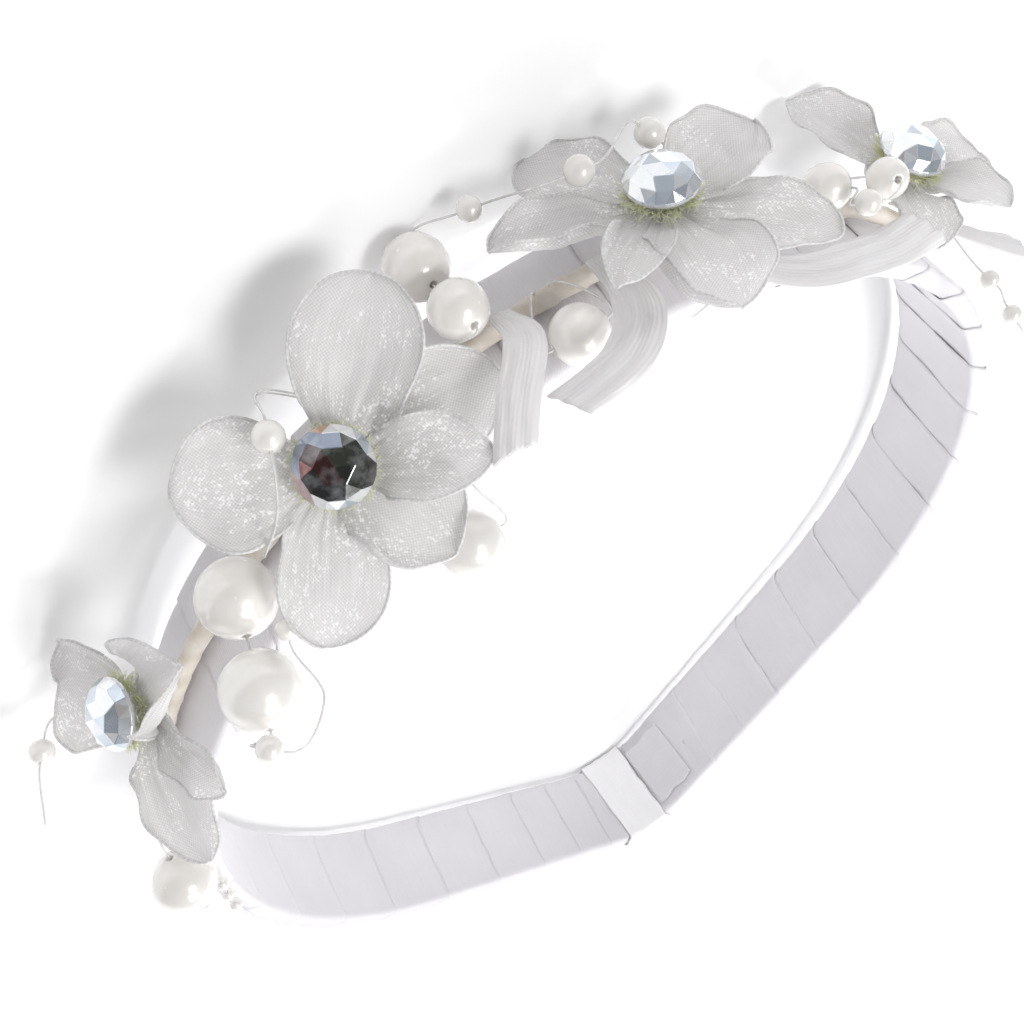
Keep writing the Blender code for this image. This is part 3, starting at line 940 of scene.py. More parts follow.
@dataclass(frozen=True)
class HoopShape:
    """The hoop's plan: a circle whose straight sides close to a rounded point at the back."""

    head_radius: float = 0.080
    back_reach: float = 0.106
    corner_radius: float = 0.014
    depth: float = 0.0036
    width: float = 0.0206

    @property
    def centre(self) -> Vector:
        """The circle's centre at the band's lower edge, from the frame."""
        low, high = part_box("ribbon_wrap")
        return Vector(((low.x + high.x) / 2, low.y + self.outer, low.z))

    @property
    def outer(self) -> float:
        """The band's outer radius."""
        return self.head_radius + self.depth

    @property
    def side_angle(self) -> float:
        """The straight side's outward normal, from +X towards +Y."""
        return math.asin(self.head_radius / self.back_reach)

    @property
    def corner_centre(self) -> float:
        """How far behind the circle's centre the back corner's centre is."""
        return (self.head_radius - self.corner_radius) / math.sin(self.side_angle)

    @property
    def corner_length(self) -> float:
        """Half the back corner's length along the inner face."""
        return self.corner_radius * (math.pi / 2 - self.side_angle)

    @property
    def straight_length(self) -> float:
        """A straight side's length."""
        return self.corner_centre * math.cos(self.side_angle)

    @property
    def half_length(self) -> float:
        """Half the inner face's length, from the back's middle to the front's."""
        arc = self.head_radius * (self.side_angle + math.pi / 2)
        return self.corner_length + self.straight_length + arc

    def station(self, length: float) -> tuple[Vector, Vector]:
        """A point of the inner face and its outward normal.

        Args:
            length: Distance from the back's middle, round by +X.

        Returns:
            The point, with the circle's centre at the origin, and the normal.
        """
        whole = 2 * self.half_length
        wrapped = (length + self.half_length) % whole - self.half_length
        side = 1 if wrapped >= 0 else -1
        away = abs(wrapped)
        turn = self.side_angle
        if away <= self.corner_length:
            angle = math.pi / 2 - away / self.corner_radius
            normal = Vector((side * math.cos(angle), math.sin(angle), 0))
            return Vector((0, self.corner_centre, 0)) + self.corner_radius * normal, normal
        if away <= self.corner_length + self.straight_length:
            normal = Vector((side * math.cos(turn), math.sin(turn), 0))
            along = Vector((side * math.sin(turn), -math.cos(turn), 0))
            start = Vector((0, self.corner_centre, 0)) + self.corner_radius * normal
            return start + (away - self.corner_length) * along, normal
        angle = turn - (away - self.corner_length - self.straight_length) / self.head_radius
        normal = Vector((side * math.cos(angle), math.sin(angle), 0))
        return self.head_radius * normal, normal

    def out_from(self, bearing: float, stand_off: float, height: float) -> Vector:
        """A point round the front, in the frame.

        Args:
            bearing: Degrees from the front towards +X.
            stand_off: Distance outside the band's outer face.
            height: Height above the band's middle.

        Returns:
            The point.
        """
        angle = math.radians(bearing)
        radius = self.outer + stand_off
        up = self.width / 2 + height
        return self.centre + Vector((radius * math.sin(angle), -radius * math.cos(angle), up))


@dataclass(frozen=True)
class Section:
    """The rounded outline of a flat band's cross-section, from its inner face's middle."""

    depth: float
    width: float
    corner: float = 0.0007
    face_steps: int = 9
    corner_steps: int = 4
    edge_steps: int = 2

    def outline(self) -> list[tuple[float, float, float, float, float]]:
        """Points round the section.

        Returns:
            (offset out, height, normal out, normal up, share of the way round) for each point.
        """
        half_w, half_d, c = self.width / 2, self.depth / 2, self.corner
        legs = [
            ((-half_d, 0.0), (-half_d, half_w - c), (-1.0, 0.0), self.face_steps),
            ((-half_d + c, half_w), (half_d - c, half_w), (0.0, 1.0), self.edge_steps),
            ((half_d, half_w - c), (half_d, -half_w + c), (1.0, 0.0), 2 * self.face_steps),
            ((half_d - c, -half_w), (-half_d + c, -half_w), (0.0, -1.0), self.edge_steps),
            ((-half_d, -half_w + c), (-half_d, 0.0), (-1.0, 0.0), self.face_steps),
        ]
        found: list[tuple[float, float, float, float]] = []
        for number, (start, end, normal, steps) in enumerate(legs):
            for k in range(steps + 1):
                share = k / steps
                x = start[0] + (end[0] - start[0]) * share
                y = start[1] + (end[1] - start[1]) * share
                found.append((x, y, *normal))
            if number + 1 < len(legs):
                after = legs[number + 1]
                middle = (end[0] - normal[0] * c, end[1] - normal[1] * c)
                for k in range(1, self.corner_steps):
                    turn = math.pi / 2 * k / self.corner_steps
                    nx = normal[0] * math.cos(turn) + after[2][0] * math.sin(turn)
                    ny = normal[1] * math.cos(turn) + after[2][1] * math.sin(turn)
                    found.append((middle[0] + nx * c, middle[1] + ny * c, nx, ny))
        travelled = [0.0]
        for before, after_point in zip(found, found[1:]):
            travelled.append(travelled[-1] + math.dist(before[:2], after_point[:2]))
        return [(*point, way / travelled[-1]) for point, way in zip(found, travelled)]

    @property
    def perimeter(self) -> float:
        """The distance round the section."""
        return 2 * (self.depth + self.width) - (8 - 2 * math.pi) * self.corner


@dataclass
class RibbonWrap:
    """The satin ribbon wound round the strip, each turn's edge lying on the one before."""

    hoop: HoopShape
    ribbon_width: float = 0.0165
    ribbon_thickness: float = 0.00016
    pitch: float = 0.0155
    close_pitch: float = 0.0112
    close_reach: float = 0.050  # turns are closer this near the back joint
    opening: float = 0.0030  # from the back's middle to the first and last turn
    trim: float = 0.0015  # the ribbon's width where its slanting cut starts
    edge_share: float = 0.30  # of a turn's advance that happens over each thin edge
    lap: float = 0.00026
    puff: float = 0.00020
    crease: float = 0.00011
    across_steps: int = 12
    seed: float = 4.0

    def turn_starts(self) -> list[float]:
        """Spaces the turns, closer near the back joint.

        Returns:
            Where each turn starts along the hoop, measured round from the back's middle.
        """
        end = 2 * self.hoop.half_length - self.opening + self.ribbon_width / 2 - self.trim
        places = [self.opening - self.ribbon_width / 2 + self.trim]
        while places[-1] < end:
            away = min(places[-1], 2 * self.hoop.half_length - places[-1])
            share = smooth_step(away, self.close_reach * 0.4, self.close_reach)
            places.append(places[-1] + self.close_pitch + (self.pitch - self.close_pitch) * share)
        fit = (end - places[0]) / (places[-1] - places[0])
        return [places[0] + (place - places[0]) * fit for place in places]

    def advance(self, share: float, outline_share: Sequence[float]) -> float:
        """How much of a turn's advance is made at a share of the way round.

        Args:
            share: The way round the section, 0 to 1.
            outline_share: The shares where the two thin edges lie, in order.

        Returns:
            The share of the advance.
        """
        first, second, third, fourth = outline_share
        stops = [(0.0, 0.0), (first, 0.1), (second, 0.1 + self.edge_share)]
        stops += [(third, 0.9 - self.edge_share), (fourth, 0.9), (1.0, 1.0)]
        for (a, low), (b, high) in zip(stops, stops[1:]):
            if share <= b:
                return low + (high - low) * (share - a) / (b - a)
        return 1.0

    def build(self, finish: bpy.types.Material) -> bpy.types.Object:
        """Winds the ribbon.

        Args:
            finish: The satin.

        Returns:
            The ribbon.
        """
        hoop = self.hoop
        cloth_layers = 2 * self.ribbon_thickness
        section = Section(hoop.depth - cloth_layers - self.lap, hoop.width - 2 * cloth_layers)
        outline = section.outline()
        half_w, half_d = section.width / 2, section.depth / 2
        around = section.perimeter
        marks = (
            half_w / around,
            (half_w + 2 * half_d) / around,
            (3 * half_w + 2 * half_d) / around,
            (3 * half_w + 4 * half_d) / around,
        )
        rows: Grid = []
        widths: list[list[float]] = []
        lengths: list[float] = []
        starts = self.turn_starts()
        travelled = 0.0
        base = hoop.centre + Vector((0, 0, hoop.width / 2))
        middle_out = hoop.depth / 2
        for turn, (start, after) in enumerate(zip(starts, starts[1:])):
            for number, (out, up, n_out, n_up, share) in enumerate(outline):
                if number == 0 and turn > 0:
                    continue
                centre = start + (after - start) * self.advance(share, marks)
                row, width_row = [], []
                cut_from, cut_to = self._cut(centre)
                for k in range(self.across_steps + 1):
                    side = 2 * k / self.across_steps - 1
                    side = math.copysign(abs(side) ** 0.75, side)
                    across = cut_from + (cut_to - cut_from) * (side + 1) / 2
                    flutter = crumple(Vector((centre, up, turn * 0.02)), 260.0, self.seed + side) * 0.00035
                    length = centre + across + flutter * abs(side) ** 4
                    point, normal = hoop.station(length)
                    lift = self._lift(side, length, up, turn)
                    place = base + point + normal * (middle_out + out + n_out * lift)
                    row.append(place + Vector((0, 0, up + n_up * lift)))
                    width_row.append(across)
                rows.append(row)
                widths.append(width_row)
                lengths.append(travelled + share * around)
            travelled += around
        return cloth("satin_wrap", rows, widths, lengths, finish, self.ribbon_thickness)

    def _cut(self, centre: float) -> tuple[float, float]:
        """Where the ribbon's edges are, once its ends are trimmed along the back joint.

        Args:
            centre: Where the ribbon's middle is along the hoop.

        Returns:
            Both edges' distances from the ribbon's middle.
        """
        half = self.ribbon_width / 2
        last = 2 * self.hoop.half_length - self.opening
        return max(-half, self.opening - centre), min(half, last - centre)

    def _lift(self, side: float, length: float, up: float, turn: int) -> float:
        """How far the ribbon stands off the strip.

        Args:
            side: Place across the ribbon, -1 to 1; the trailing edge lies on the turn before.
            length: Distance along the hoop.
            up: Height on the section.
            turn: The turn's number.

        Returns:
            The stand-off, in metres.
        """
        over = smooth_step(-side, 0.35, 0.98) * self.lap
        belly = self.puff * (1 - side * side)
        spot = Vector((length, up, turn * 0.013))
        folds = crumple(Vector((length, up * 0.30, turn * 0.011)), 520.0, self.seed)
        fine = crumple(spot, 900.0, self.seed + 2)
        near_edge = smooth_step(abs(side), 0.25, 0.95)
        slack = crumple(Vector((turn * 0.031, up, 0.0)), 110.0, self.seed + 5) * self.puff * 0.8
        return 0.00010 + over + belly + slack + self.crease * (folds * (0.5 + near_edge) + 0.35 * fine)


@dataclass
class BackCollar:
    """The bright satin band over the pointed back, and the wrap's folded end beside it."""

    hoop: HoopShape
    length: float = 0.0112
    thickness: float = 0.0004
    clearance: float = 0.00062
    wave: float = 0.00045  # how uneven its cut edges are
    fold: float = 0.00022
    ridge: float = 0.0002
    roll: float = 0.00022
    tail_length: float = 0.0118
    tail_inset: float = 0.12
    tail_gap: float = 0.00032  # from the band's inner face to the tail's first layer
    tail_layer: float = 0.00042  # from its first layer to its second
    tail_bend: float = 0.0002
    tail_puff: float = 0.00012
    tail_steps: int = 14
    tail_columns: int = 20
    along_steps: int = 22

    def build_collar(self, finish: bpy.types.Material) -> bpy.types.Object:
        """Wraps the collar round the band.

        Args:
            finish: The collar's satin.

        Returns:
            The collar.
        """
        hoop = self.hoop
        section = Section(hoop.depth + 2 * self.clearance, hoop.width + 2 * self.clearance, corner=0.0010)
        outline = section.outline()[:-1]
        base = hoop.centre + Vector((0, 0, hoop.width / 2))
        rows, widths, lengths = [], [], []
        for out, up, n_out, n_up, share in outline:
            row, width_row = [], []
            for k in range(self.along_steps + 1):
                side = 2 * k / self.along_steps - 1
                wander = crumple(Vector((up, side * 0.003, out)), 330.0, 2.0) * self.wave * abs(side) ** 3
                across = side * self.length / 2
                point, normal = hoop.station(across + wander)
                folds = crumple(Vector((across, up * 0.5, out)), 420.0, 8.0) * self.fold
                ridge = math.exp(-(((across - 0.0011) / 0.0007) ** 2)) * self.ridge
                roll = smooth_step(abs(side), 0.86, 1.0) * self.roll
                lift = folds + ridge - roll
                place = base + point + normal * (hoop.depth / 2 + out + n_out * lift)
                row.append(place + Vector((0, 0, up + n_up * lift)))
                width_row.append(across)
            rows.append(row)
            widths.append(width_row)
            lengths.append(share * section.perimeter)
        return cloth("satin_collar", rows, widths, lengths, finish, self.thickness, ring=True)

    def build_tail(self, finish: bpy.types.Material) -> bpy.types.Object:
        """Lays the wrap's end inside the band, folded back on itself.

        Args:
            finish: The wrap's satin.

        Returns:
            The folded end.
        """
        hoop = self.hoop
        base = hoop.centre
        start = -self.length / 2 - 0.0005
        low, high = hoop.width * self.tail_inset, hoop.width * (1 - self.tail_inset)
        near, far, bend = self.tail_gap, self.tail_gap + self.tail_layer, self.tail_bend
        layer = [k / self.tail_steps * self.tail_length for k in range(self.tail_steps + 1)]
        profile = [(back, near) for back in layer]
        for k in range(1, 5):
            turn = math.pi * k / 5
            profile.append((self.tail_length + bend * math.sin(turn), near + bend - bend * math.cos(turn)))
        profile += [(back, far) for back in reversed(layer)]
        rows, widths, lengths = [], [], []
        travelled = 0.0
        for number, (back, inward) in enumerate(profile):
            if number:
                travelled += math.dist(profile[number - 1], (back, inward))
            row, width_row = [], []
            for k in range(self.tail_columns + 1):
                share = k / self.tail_columns
                height = low + (high - low) * share + (share - 0.5) * 0.0006 * math.sin(back * 900)
                point, normal = hoop.station(start - back)
                puff = crumple(Vector((back, height, inward * 20)), 380.0, 6.0) * self.tail_puff
                row.append(base + point - normal * (inward + puff) + Vector((0, 0, height)))
                width_row.append(height)
            rows.append(row)
            widths.append(width_row)
            lengths.append(travelled)
        return cloth("satin_tail", rows, widths, lengths, finish, 0.00018)


# ---- Flowers


@dataclass(frozen=True)
class Petal:
    """A petal's cut and how it is gathered, cupped, folded and curled."""

    azimuth: float
    length: float
    width: float
    layer: int
    rise: float
    bend: float
    cup: float = 22.0  # how far each half turns up towards its edge, in degrees
    left: float = 0.0  # extra curl of the side towards lower azimuth, in degrees
    right: float = 0.0
    tip: float = 0.0  # extra curl of the tip, in degrees; negative curls back
    fold: float = 0.0  # how sharply the petal folds along its middle, in degrees
    lean: float = 1.3  # above 1, the petal is widest past its middle
    ruffle: float = 1.0


@dataclass
class Flower:
    """An organza flower: a backing disc, gathered petals with rolled hems, a tuft of fibres and a stone."""

    name: str
    hoop: HoopShape
    bearing: float
    stand_off: float
    height: float
    turn: float
    tilt: float
    stone: Slot
    petals: tuple[Petal, ...]
    seed: int
    calyx_radius: float = 0.0050
    root_radius: float = 0.0016
    root_width: float = 0.0024
    layer_pitch: float = 0.0008
    root_lift: float = 0.00055
    cloth_thickness: float = 0.00012
    hem_radius: float = 0.00021
    hem_end: float = 0.55  # how thin its ends are, as a share
    fullness: float = 0.58  # below 1, a petal's outline is blunter than an arch
    ruffle: float = 0.00042  # waves along a petal's edge
    gather: float = 0.00016  # pleats at its root
    crease: float = 0.00045
    fine_crease: float = 0.00012
    pull: float = 0.00022  # long folds from the root
    wobble: float = 0.0003  # how uneven its cut edge is
    bare_rows: int = 8  # rows at the root that have no hem
    fibres: int = 190
    fibre_radius: float = 0.00008
    tuft_height: float = 0.0027
    stone_radius: float = 0.0052
    stone_height: float = 0.0042
    girdle: float = 0.0010
    crown_height: float = 0.0026
    facet_bevel: float = 0.00007
    rows: int = 38
    columns: int = 26

    @property
    def axes(self) -> Matrix:
        """The flower's own axes in the frame.

        Returns:
            The axes as a matrix: Z out of the flower's face, Y up it.
        """
        heading = math.radians(self.bearing + self.turn)
        tilt = math.radians(self.tilt)
        level = math.cos(tilt)
        axis = Vector((math.sin(heading) * level, -math.cos(heading) * level, math.sin(tilt)))
        up = (Vector((0, 0, 1)) - axis * axis.z).normalized()
        turned = Matrix((up.cross(axis), up, axis)).transposed().to_4x4()
        return Matrix.Translation(self.hoop.out_from(self.bearing, self.stand_off, self.height)) @ turned

    def _half_width(self, petal: Petal, out: float, reach: float) -> float:
        """Half a petal's width at a distance out.

        Args:
            petal: The petal.
            out: Distance from the flower's axis.
            reach: The tip's distance from the axis.

        Returns:
            Half the width there.
        """
        along = (out - self.root_radius) / (reach - self.root_radius)
        swell = max(0.0, math.sin(math.pi * min(1.0, along) ** petal.lean)) ** self.fullness
        least = self.root_width * (1 - 0.75 * along)
        return max(least, petal.width * swell) / 2

    def _middle_line(self, petal: Petal) -> list[tuple[float, float, float, float]]:
        """A petal's middle line from root to tip.

        Args:
            petal: The petal.

        Returns:
            (flat distance out, out, up, slope) for each row.
        """
        height = self.root_lift + petal.layer * self.layer_pitch
        blade = petal.length - self.calyx_radius
        line = [(self.root_radius, self.root_radius, height, 0.0)]
        root_rows = 6
        for k in range(1, root_rows + 1):
            out = self.root_radius + (self.calyx_radius - self.root_radius) * k / root_rows
            line.append((out, out, height, 0.0))
        reached = 0.0
        for k in range(1, self.rows + 1):
            share = math.sin(math.pi / 2 * k / self.rows)
            curl = petal.tip * smooth_step(share, 0.70, 1.0)
            ease = smooth_step(share, 0.0, 0.12)
            slope = math.radians((petal.rise - petal.bend * share) * ease + curl)
            flat, out, up, _ = line[-1]
            pace = blade * (share - reached)
            line.append((flat + pace, out + pace * math.cos(slope), up + pace * math.sin(slope), slope))
            reached = share
        return line

    def _across(self, petal: Petal, side: float, half: float, ripe: float) -> tuple[float, float]:
        """A point of a petal's cross-section.

        Args:
            petal: The petal.
            side: Place across, -1 to 1.
            half: Half the petal's width there.
            ripe: How fully the petal has opened there, 0 at the root to 1.

        Returns:
            The point's distance across and its lift.
        """
        curl = petal.right if side > 0 else petal.left
        steps = 8
        across = lift = 0.0
        for k in range(steps):
            share = (k + 0.5) / steps * abs(side)
            bowl = petal.cup * share + curl * smooth_step(share, 0.45, 1.0)
            bowl += petal.fold * smooth_step(share, 0, 0.12)
            angle = math.radians(bowl * ripe)
            across += math.cos(angle)
            lift += math.sin(angle)
        scale = half * abs(side) / steps
        return math.copysign(across * scale, side), lift * scale

    def _petal_rows(self, number: int, petal: Petal) -> tuple[Grid, list[list[float]], list[float]]:
        """The points of a petal, along +Y of the flower's axes.

        Args:
            number: The petal's number, which seeds its creases.
            petal: The petal.

        Returns:
            The rows, the widths across and the lengths along.
        """
        line = self._middle_line(petal)
        reach = line[-1][0]
        seed = self.seed + number * 1.7
        rows, widths, lengths = [], [], []
        for flat, out, up, slope in line:
            half = self._half_width(petal, flat, reach)
            along = (flat - self.root_radius) / (reach - self.root_radius)
            ripe = smooth_step(along, 0.12, 0.45)
            row, width_row = [], []
            for k in range(self.columns + 1):
                side = 2 * k / self.columns - 1
                across, lift = self._across(petal, side, half, ripe)
                edge = abs(side) ** 2.5
                wave = math.sin(along * 17 + seed * 2 + (3.1 if side > 0 else 0.0))
                ruffle = petal.ruffle * self.ruffle * edge * wave * ripe
                gather = math.sin(side * 15 + seed) * self.gather * (1 - along) ** 1.2
                spot = Vector((across, flat, number * 0.05))
                crease = crumple(spot, 210.0, seed) * self.crease * ripe
                crease += crumple(spot, 620.0, seed) * self.fine_crease
                pull = crumple(Vector((side * 0.010, flat * 0.25, number)), 520.0, seed + 3) * self.pull
                height = lift + ruffle + gather + crease + pull * (1 - 0.6 * along)
                wobble = crumple(Vector((side, along * 0.02, number)), 150.0, seed + 9) * self.wobble
                across += wobble * edge * ripe
                row.append(Vector((across, out - height * math.sin(slope), up + height * math.cos(slope))))
                width_row.append(side * half)
            rows.append(row)
            widths.append(width_row)
            lengths.append(flat)
        return rows, widths, lengths

    def build_petals(self, finishes: Finishes) -> None:
        """Makes each petal and its hem.

        Args:
            finishes: The finishes.
        """
        for number, petal in enumerate(self.petals, start=1):
            name = f"{self.name}_petal_{number}"
            rows, widths, lengths = self._petal_rows(number, petal)
            into = self.axes @ Matrix.Rotation(-math.radians(petal.azimuth), 4, "Z")
            placed = [[into @ point for point in row] for row in rows]
            blade = cloth(f"{name}_organza", placed, widths, lengths, finishes.organza, self.cloth_thickness)
            hem = self._hem(f"{name}_hem", placed, finishes.hem)
            Piece(blade, Slot.ORGANZA, nodes=(name,)).settle()
            Piece(hem, Slot.ORGANZA).settle()
            flat = (max(0.0105, petal.width * 1.25), petal.length * 1.05)
            area = min(face_area(blade) / 2, flat[0] * flat[1])

    def _hem(self, name: str, rows: Grid, finish: bpy.types.Material) -> bpy.types.Object:
        """A rolled hem round a petal's free edge.

        Args:
            name: The hem's name.
            rows: The petal's points in the frame.
            finish: Its finish.

        Returns:
            The hem.
        """
        free = rows[self.bare_rows :]
        edge = [row[0] for row in free] + rows[-1][1:-1] + [row[-1] for row in reversed(free)]
        kept = [edge[0]]
        for point in edge[1:]:
            if (point - kept[-1]).length > self.hem_radius * 1.3:
                kept.append(point)
        radii = [self.hem_radius * (1 + 0.16 * crumple(point, 900.0, self.seed)) for point in kept]
        radii[0] *= self.hem_end
        radii[-1] *= self.hem_end
        bm = new_tube_mesh()
        add_tube(bm, kept, radii, 8)
        return link_mesh(name, bm, finish)

    def build_tuft(self, finishes: Finishes) -> None:
        """Makes the pad of fibres under the stone.

        Args:
            finishes: The finishes.
        """
        rng = random.Random(self.seed)
        bm = new_tube_mesh()
        into = self.axes
        for k in range(self.fibres):
            angle = 2 * math.pi * (k + rng.random()) / self.fibres
            start = rng.uniform(0.0020, 0.0040)
            reach = rng.uniform(0.0049, 0.0061)
            rise = rng.uniform(-0.0004, 0.0014)
            swirl = rng.uniform(-0.35, 0.35)
            points = []
            for step in range(6):
                share = step / 5
                radius = start + (reach - start) * share
                spin = angle + swirl * share * share
                up = self.tuft_height - 0.0002 + rise * share**1.5 + 0.0004 * math.sin(share * 3)
                points.append(into @ Vector((radius * math.cos(spin), radius * math.sin(spin), up)))
            add_tube(bm, points, [self.fibre_radius * (1.15 - 0.6 * s / 5) for s in range(6)], 5)
        tuft = link_mesh(f"{self.name}_tuft_fibres", bm, finishes.fibre)
        Piece(tuft, Slot.TUFT, nodes=(f"{self.name}_tuft",)).settle()

    def build_stone(self, finishes: Finishes) -> None:
        """Cuts the stone: a girdle under three rows of facets.

        Args:
            finishes: The finishes.
        """
        rng = random.Random(self.seed + 50)
        bm = bmesh.new()
        rings = (
            (24, 0.94, 0.0, 0.0, 0.0),
            (24, 1.0, self.girdle * 0.5, 0.0, 0.0),
            (24, 1.0, self.girdle, 0.0, 0.0),
            (12, 0.82, self.girdle, 0.50, 0.5),
            (6, 0.50, self.girdle, 0.90, 0.5),
            (1, 0.0, self.girdle, 1.0, 0.0),
        )
        for count, spread, low, share, turn in rings:
            for k in range(count):
                angle = 2 * math.pi * (k + turn) / count
                radius = self.stone_radius * spread
                height = self.stone_height + low + self.crown_height * share
                bm.verts.new((radius * math.cos(angle), radius * math.sin(angle), height))
        bmesh.ops.convex_hull(bm, input=bm.verts)
        bmesh.ops.dissolve_limit(bm, angle_limit=math.radians(1.0), verts=bm.verts, edges=bm.edges)
        bmesh.ops.bevel(
            bm,
            geom=[edge for edge in bm.edges if edge.calc_face_angle(0) > math.radians(8)],
            offset=self.facet_bevel,
            segments=1,
            affect="EDGES",
        )
        tone = bm.loops.layers.float_color.new(TONE)
        # each facet is given the colour of a painted reflection
        reflections = PAINTED_STONE_REFLECTIONS[self.stone]
        for face in bm.faces:
            middle = face.calc_center_median()
            share = (middle.z - self.stone_height - self.girdle) / self.crown_height
            colour = reflections.pick(share, math.atan2(middle.y, middle.x), rng)
            for loop in face.loops:
                loop[tone] = (*colour, 1.0)
        bm.transform(self.axes)
        finish = finishes.dark_stone if self.stone is Slot.DARK_STONE else finishes.clear_stone
        stone = link_mesh(f"{self.name}_cut_stone", bm, finish, smooth=False)
        Piece(stone, self.stone, nodes=(f"{self.name}_stone",)).settle()

    def build(self, finishes: Finishes) -> None:
        """Builds the whole flower.

        Args:
            finishes: The finishes.
        """
        dress(f"{self.name}_calyx", finishes.backing)
        self.build_petals(finishes)
        self.build_tuft(finishes)
        self.build_stone(finishes)


@dataclass(frozen=True)
class PaintedStoneReflections:
    """Painted reflections on a stone's girdle and facets: each tuple runs round the stone, the table's
    first.
    """

    rim: Colour
    table: tuple[Colour, ...]
    upper: tuple[Colour, ...]
    lower: tuple[Colour, ...]

    def pick(self, share: float, angle: float, rng: random.Random) -> Colour:
        """A facet's painted reflection.

        Args:
            share: How high the facet is on the stone's crown, 0 to 1.
            angle: Where it is round the stone, in radians.
            rng: Varies the tone a little.

        Returns:
            The tone.
        """
        if share < -0.02:
            return self.rim
        ring = self.table if share > 0.90 else self.upper if share > 0.62 else self.lower
        colour = ring[int(len(ring) * (angle / (2 * math.pi) % 1.0)) % len(ring)]
        glow = rng.uniform(0.85, 1.15)
        return tuple(min(1.0, part * glow) for part in colour)


# Colours of the painted reflections in the stones' facets.
BLACK: Colour = (0.008, 0.008, 0.007)
WINE: Colour = (0.040, 0.010, 0.010)
OLIVE: Colour = (0.030, 0.034, 0.022)
ROSE: Colour = (0.30, 0.13, 0.12)
PINK: Colour = (0.52, 0.38, 0.38)
SLATE: Colour = (0.24, 0.28, 0.36)
AMBER: Colour = (0.50, 0.32, 0.22)
SILVER: Colour = (0.78, 0.80, 0.80)
ICE: Colour = (0.90, 0.93, 0.97)
PALE_BLUE: Colour = (0.66, 0.74, 0.83)
MIST: Colour = (0.50, 0.55, 0.61)
PAINTED_STONE_REFLECTIONS: dict[Slot, PaintedStoneReflections] = {
    Slot.DARK_STONE: PaintedStoneReflections(
        rim=SILVER,
        table=(WINE, BLACK, BLACK, OLIVE, BLACK, WINE),
        upper=(BLACK, BLACK, BLACK, BLACK, OLIVE, BLACK, OLIVE, OLIVE, SLATE, WINE, ROSE, ROSE),
        lower=(PINK, SILVER, MIST, SILVER, BLACK, SILVER, MIST, SILVER, AMBER, SLATE, SLATE, PINK),
    ),
    Slot.CLEAR_STONE: PaintedStoneReflections(
        rim=(0.80, 0.82, 0.86),
        table=(ICE, ICE, PALE_BLUE, ICE, ICE, MIST),
        upper=(ICE, PALE_BLUE, ICE, MIST, ICE, ICE, PALE_BLUE, ICE, ICE),
        lower=(ICE, PALE_BLUE, MIST, ICE, ICE, PALE_BLUE, ICE, MIST, PALE_BLUE, ICE, SILVER),
    ),
}


def dress(node: str, finish: bpy.types.Material) -> None:
    """Gives a CAD node's slots a finish.

    Args:
        node: The node's name.
        finish: The material.
    """
    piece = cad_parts[node]
    for slot in piece.material_slots:
        slot.material = finish
    LOG.info("%s keeps its CAD shape", node)


# ---- Lines, beads and pearls


class Stop(Enum):
    """What a line does at a stop."""

    ROOT = "root"  # bound in at the spine
    PEARL = "pearl"  # a drilled pearl turns on the line
    BEAD = "bead"  # a small bead fixed on the line
    BEND = "bend"
    END = "end"


@dataclass(frozen=True)
class LineStop:
    """A place on a line: bearing, stand-off, height above the band's middle and a bead's diameter."""

    kind: Stop
    bearing: float
    stand_off: float = 0.0038
    height: float = 0.0
    diameter: float = 0.0


@dataclass
class TapedStem:
    """The garland's spine: a bundle of stems bound with tape in a close spiral."""

    hoop: HoopShape
    start: float = -54.0
    end: float = 74.0
    stand_off: float = 0.0019
    radius: float = 0.00138
    tape_pitch: float = 0.0046
    lap: float = 0.00020
    sides: int = 20
    step: float = 0.25  # degrees between rings

    def build(self, finishes: Finishes) -> None:
        """Makes the bound stem.

        Args:
            finishes: The finishes.
        """
        count = round((self.end - self.start) / self.step)
        points = [
            self.hoop.out_from(self.start + (self.end - self.start) * k / count, self.stand_off, 0.0)
            for k in range(count + 1)
        ]
        bm = new_tube_mesh()
        add_tube(bm, points, [1.0] * len(points), self.sides)
        bm.verts.ensure_lookup_table()
        for k, point in enumerate(points):
            along = (point - points[0]).length if k < 2 else k * (points[1] - points[0]).length
            rounding = min(1.0, (min(k, count - k) + 1) / 8) ** 0.5
            for n in range(self.sides):
                turn = (along / self.tape_pitch + n / self.sides) % 1.0
                lump = crumple(Vector((along, n * 0.0004, 0.0)), 240.0, 3.0) * 0.00010
                reach = (self.radius + self.lap * (1 - turn) ** 2 * 0.9 + lump) * rounding
                vert = bm.verts[k * self.sides + n]
                vert.co = point + (vert.co - point).normalized() * reach
        stem = link_mesh("taped_stem", bm, finishes.stem)
        Piece(stem, Slot.TAPE, nodes=("garland_spine",)).settle()


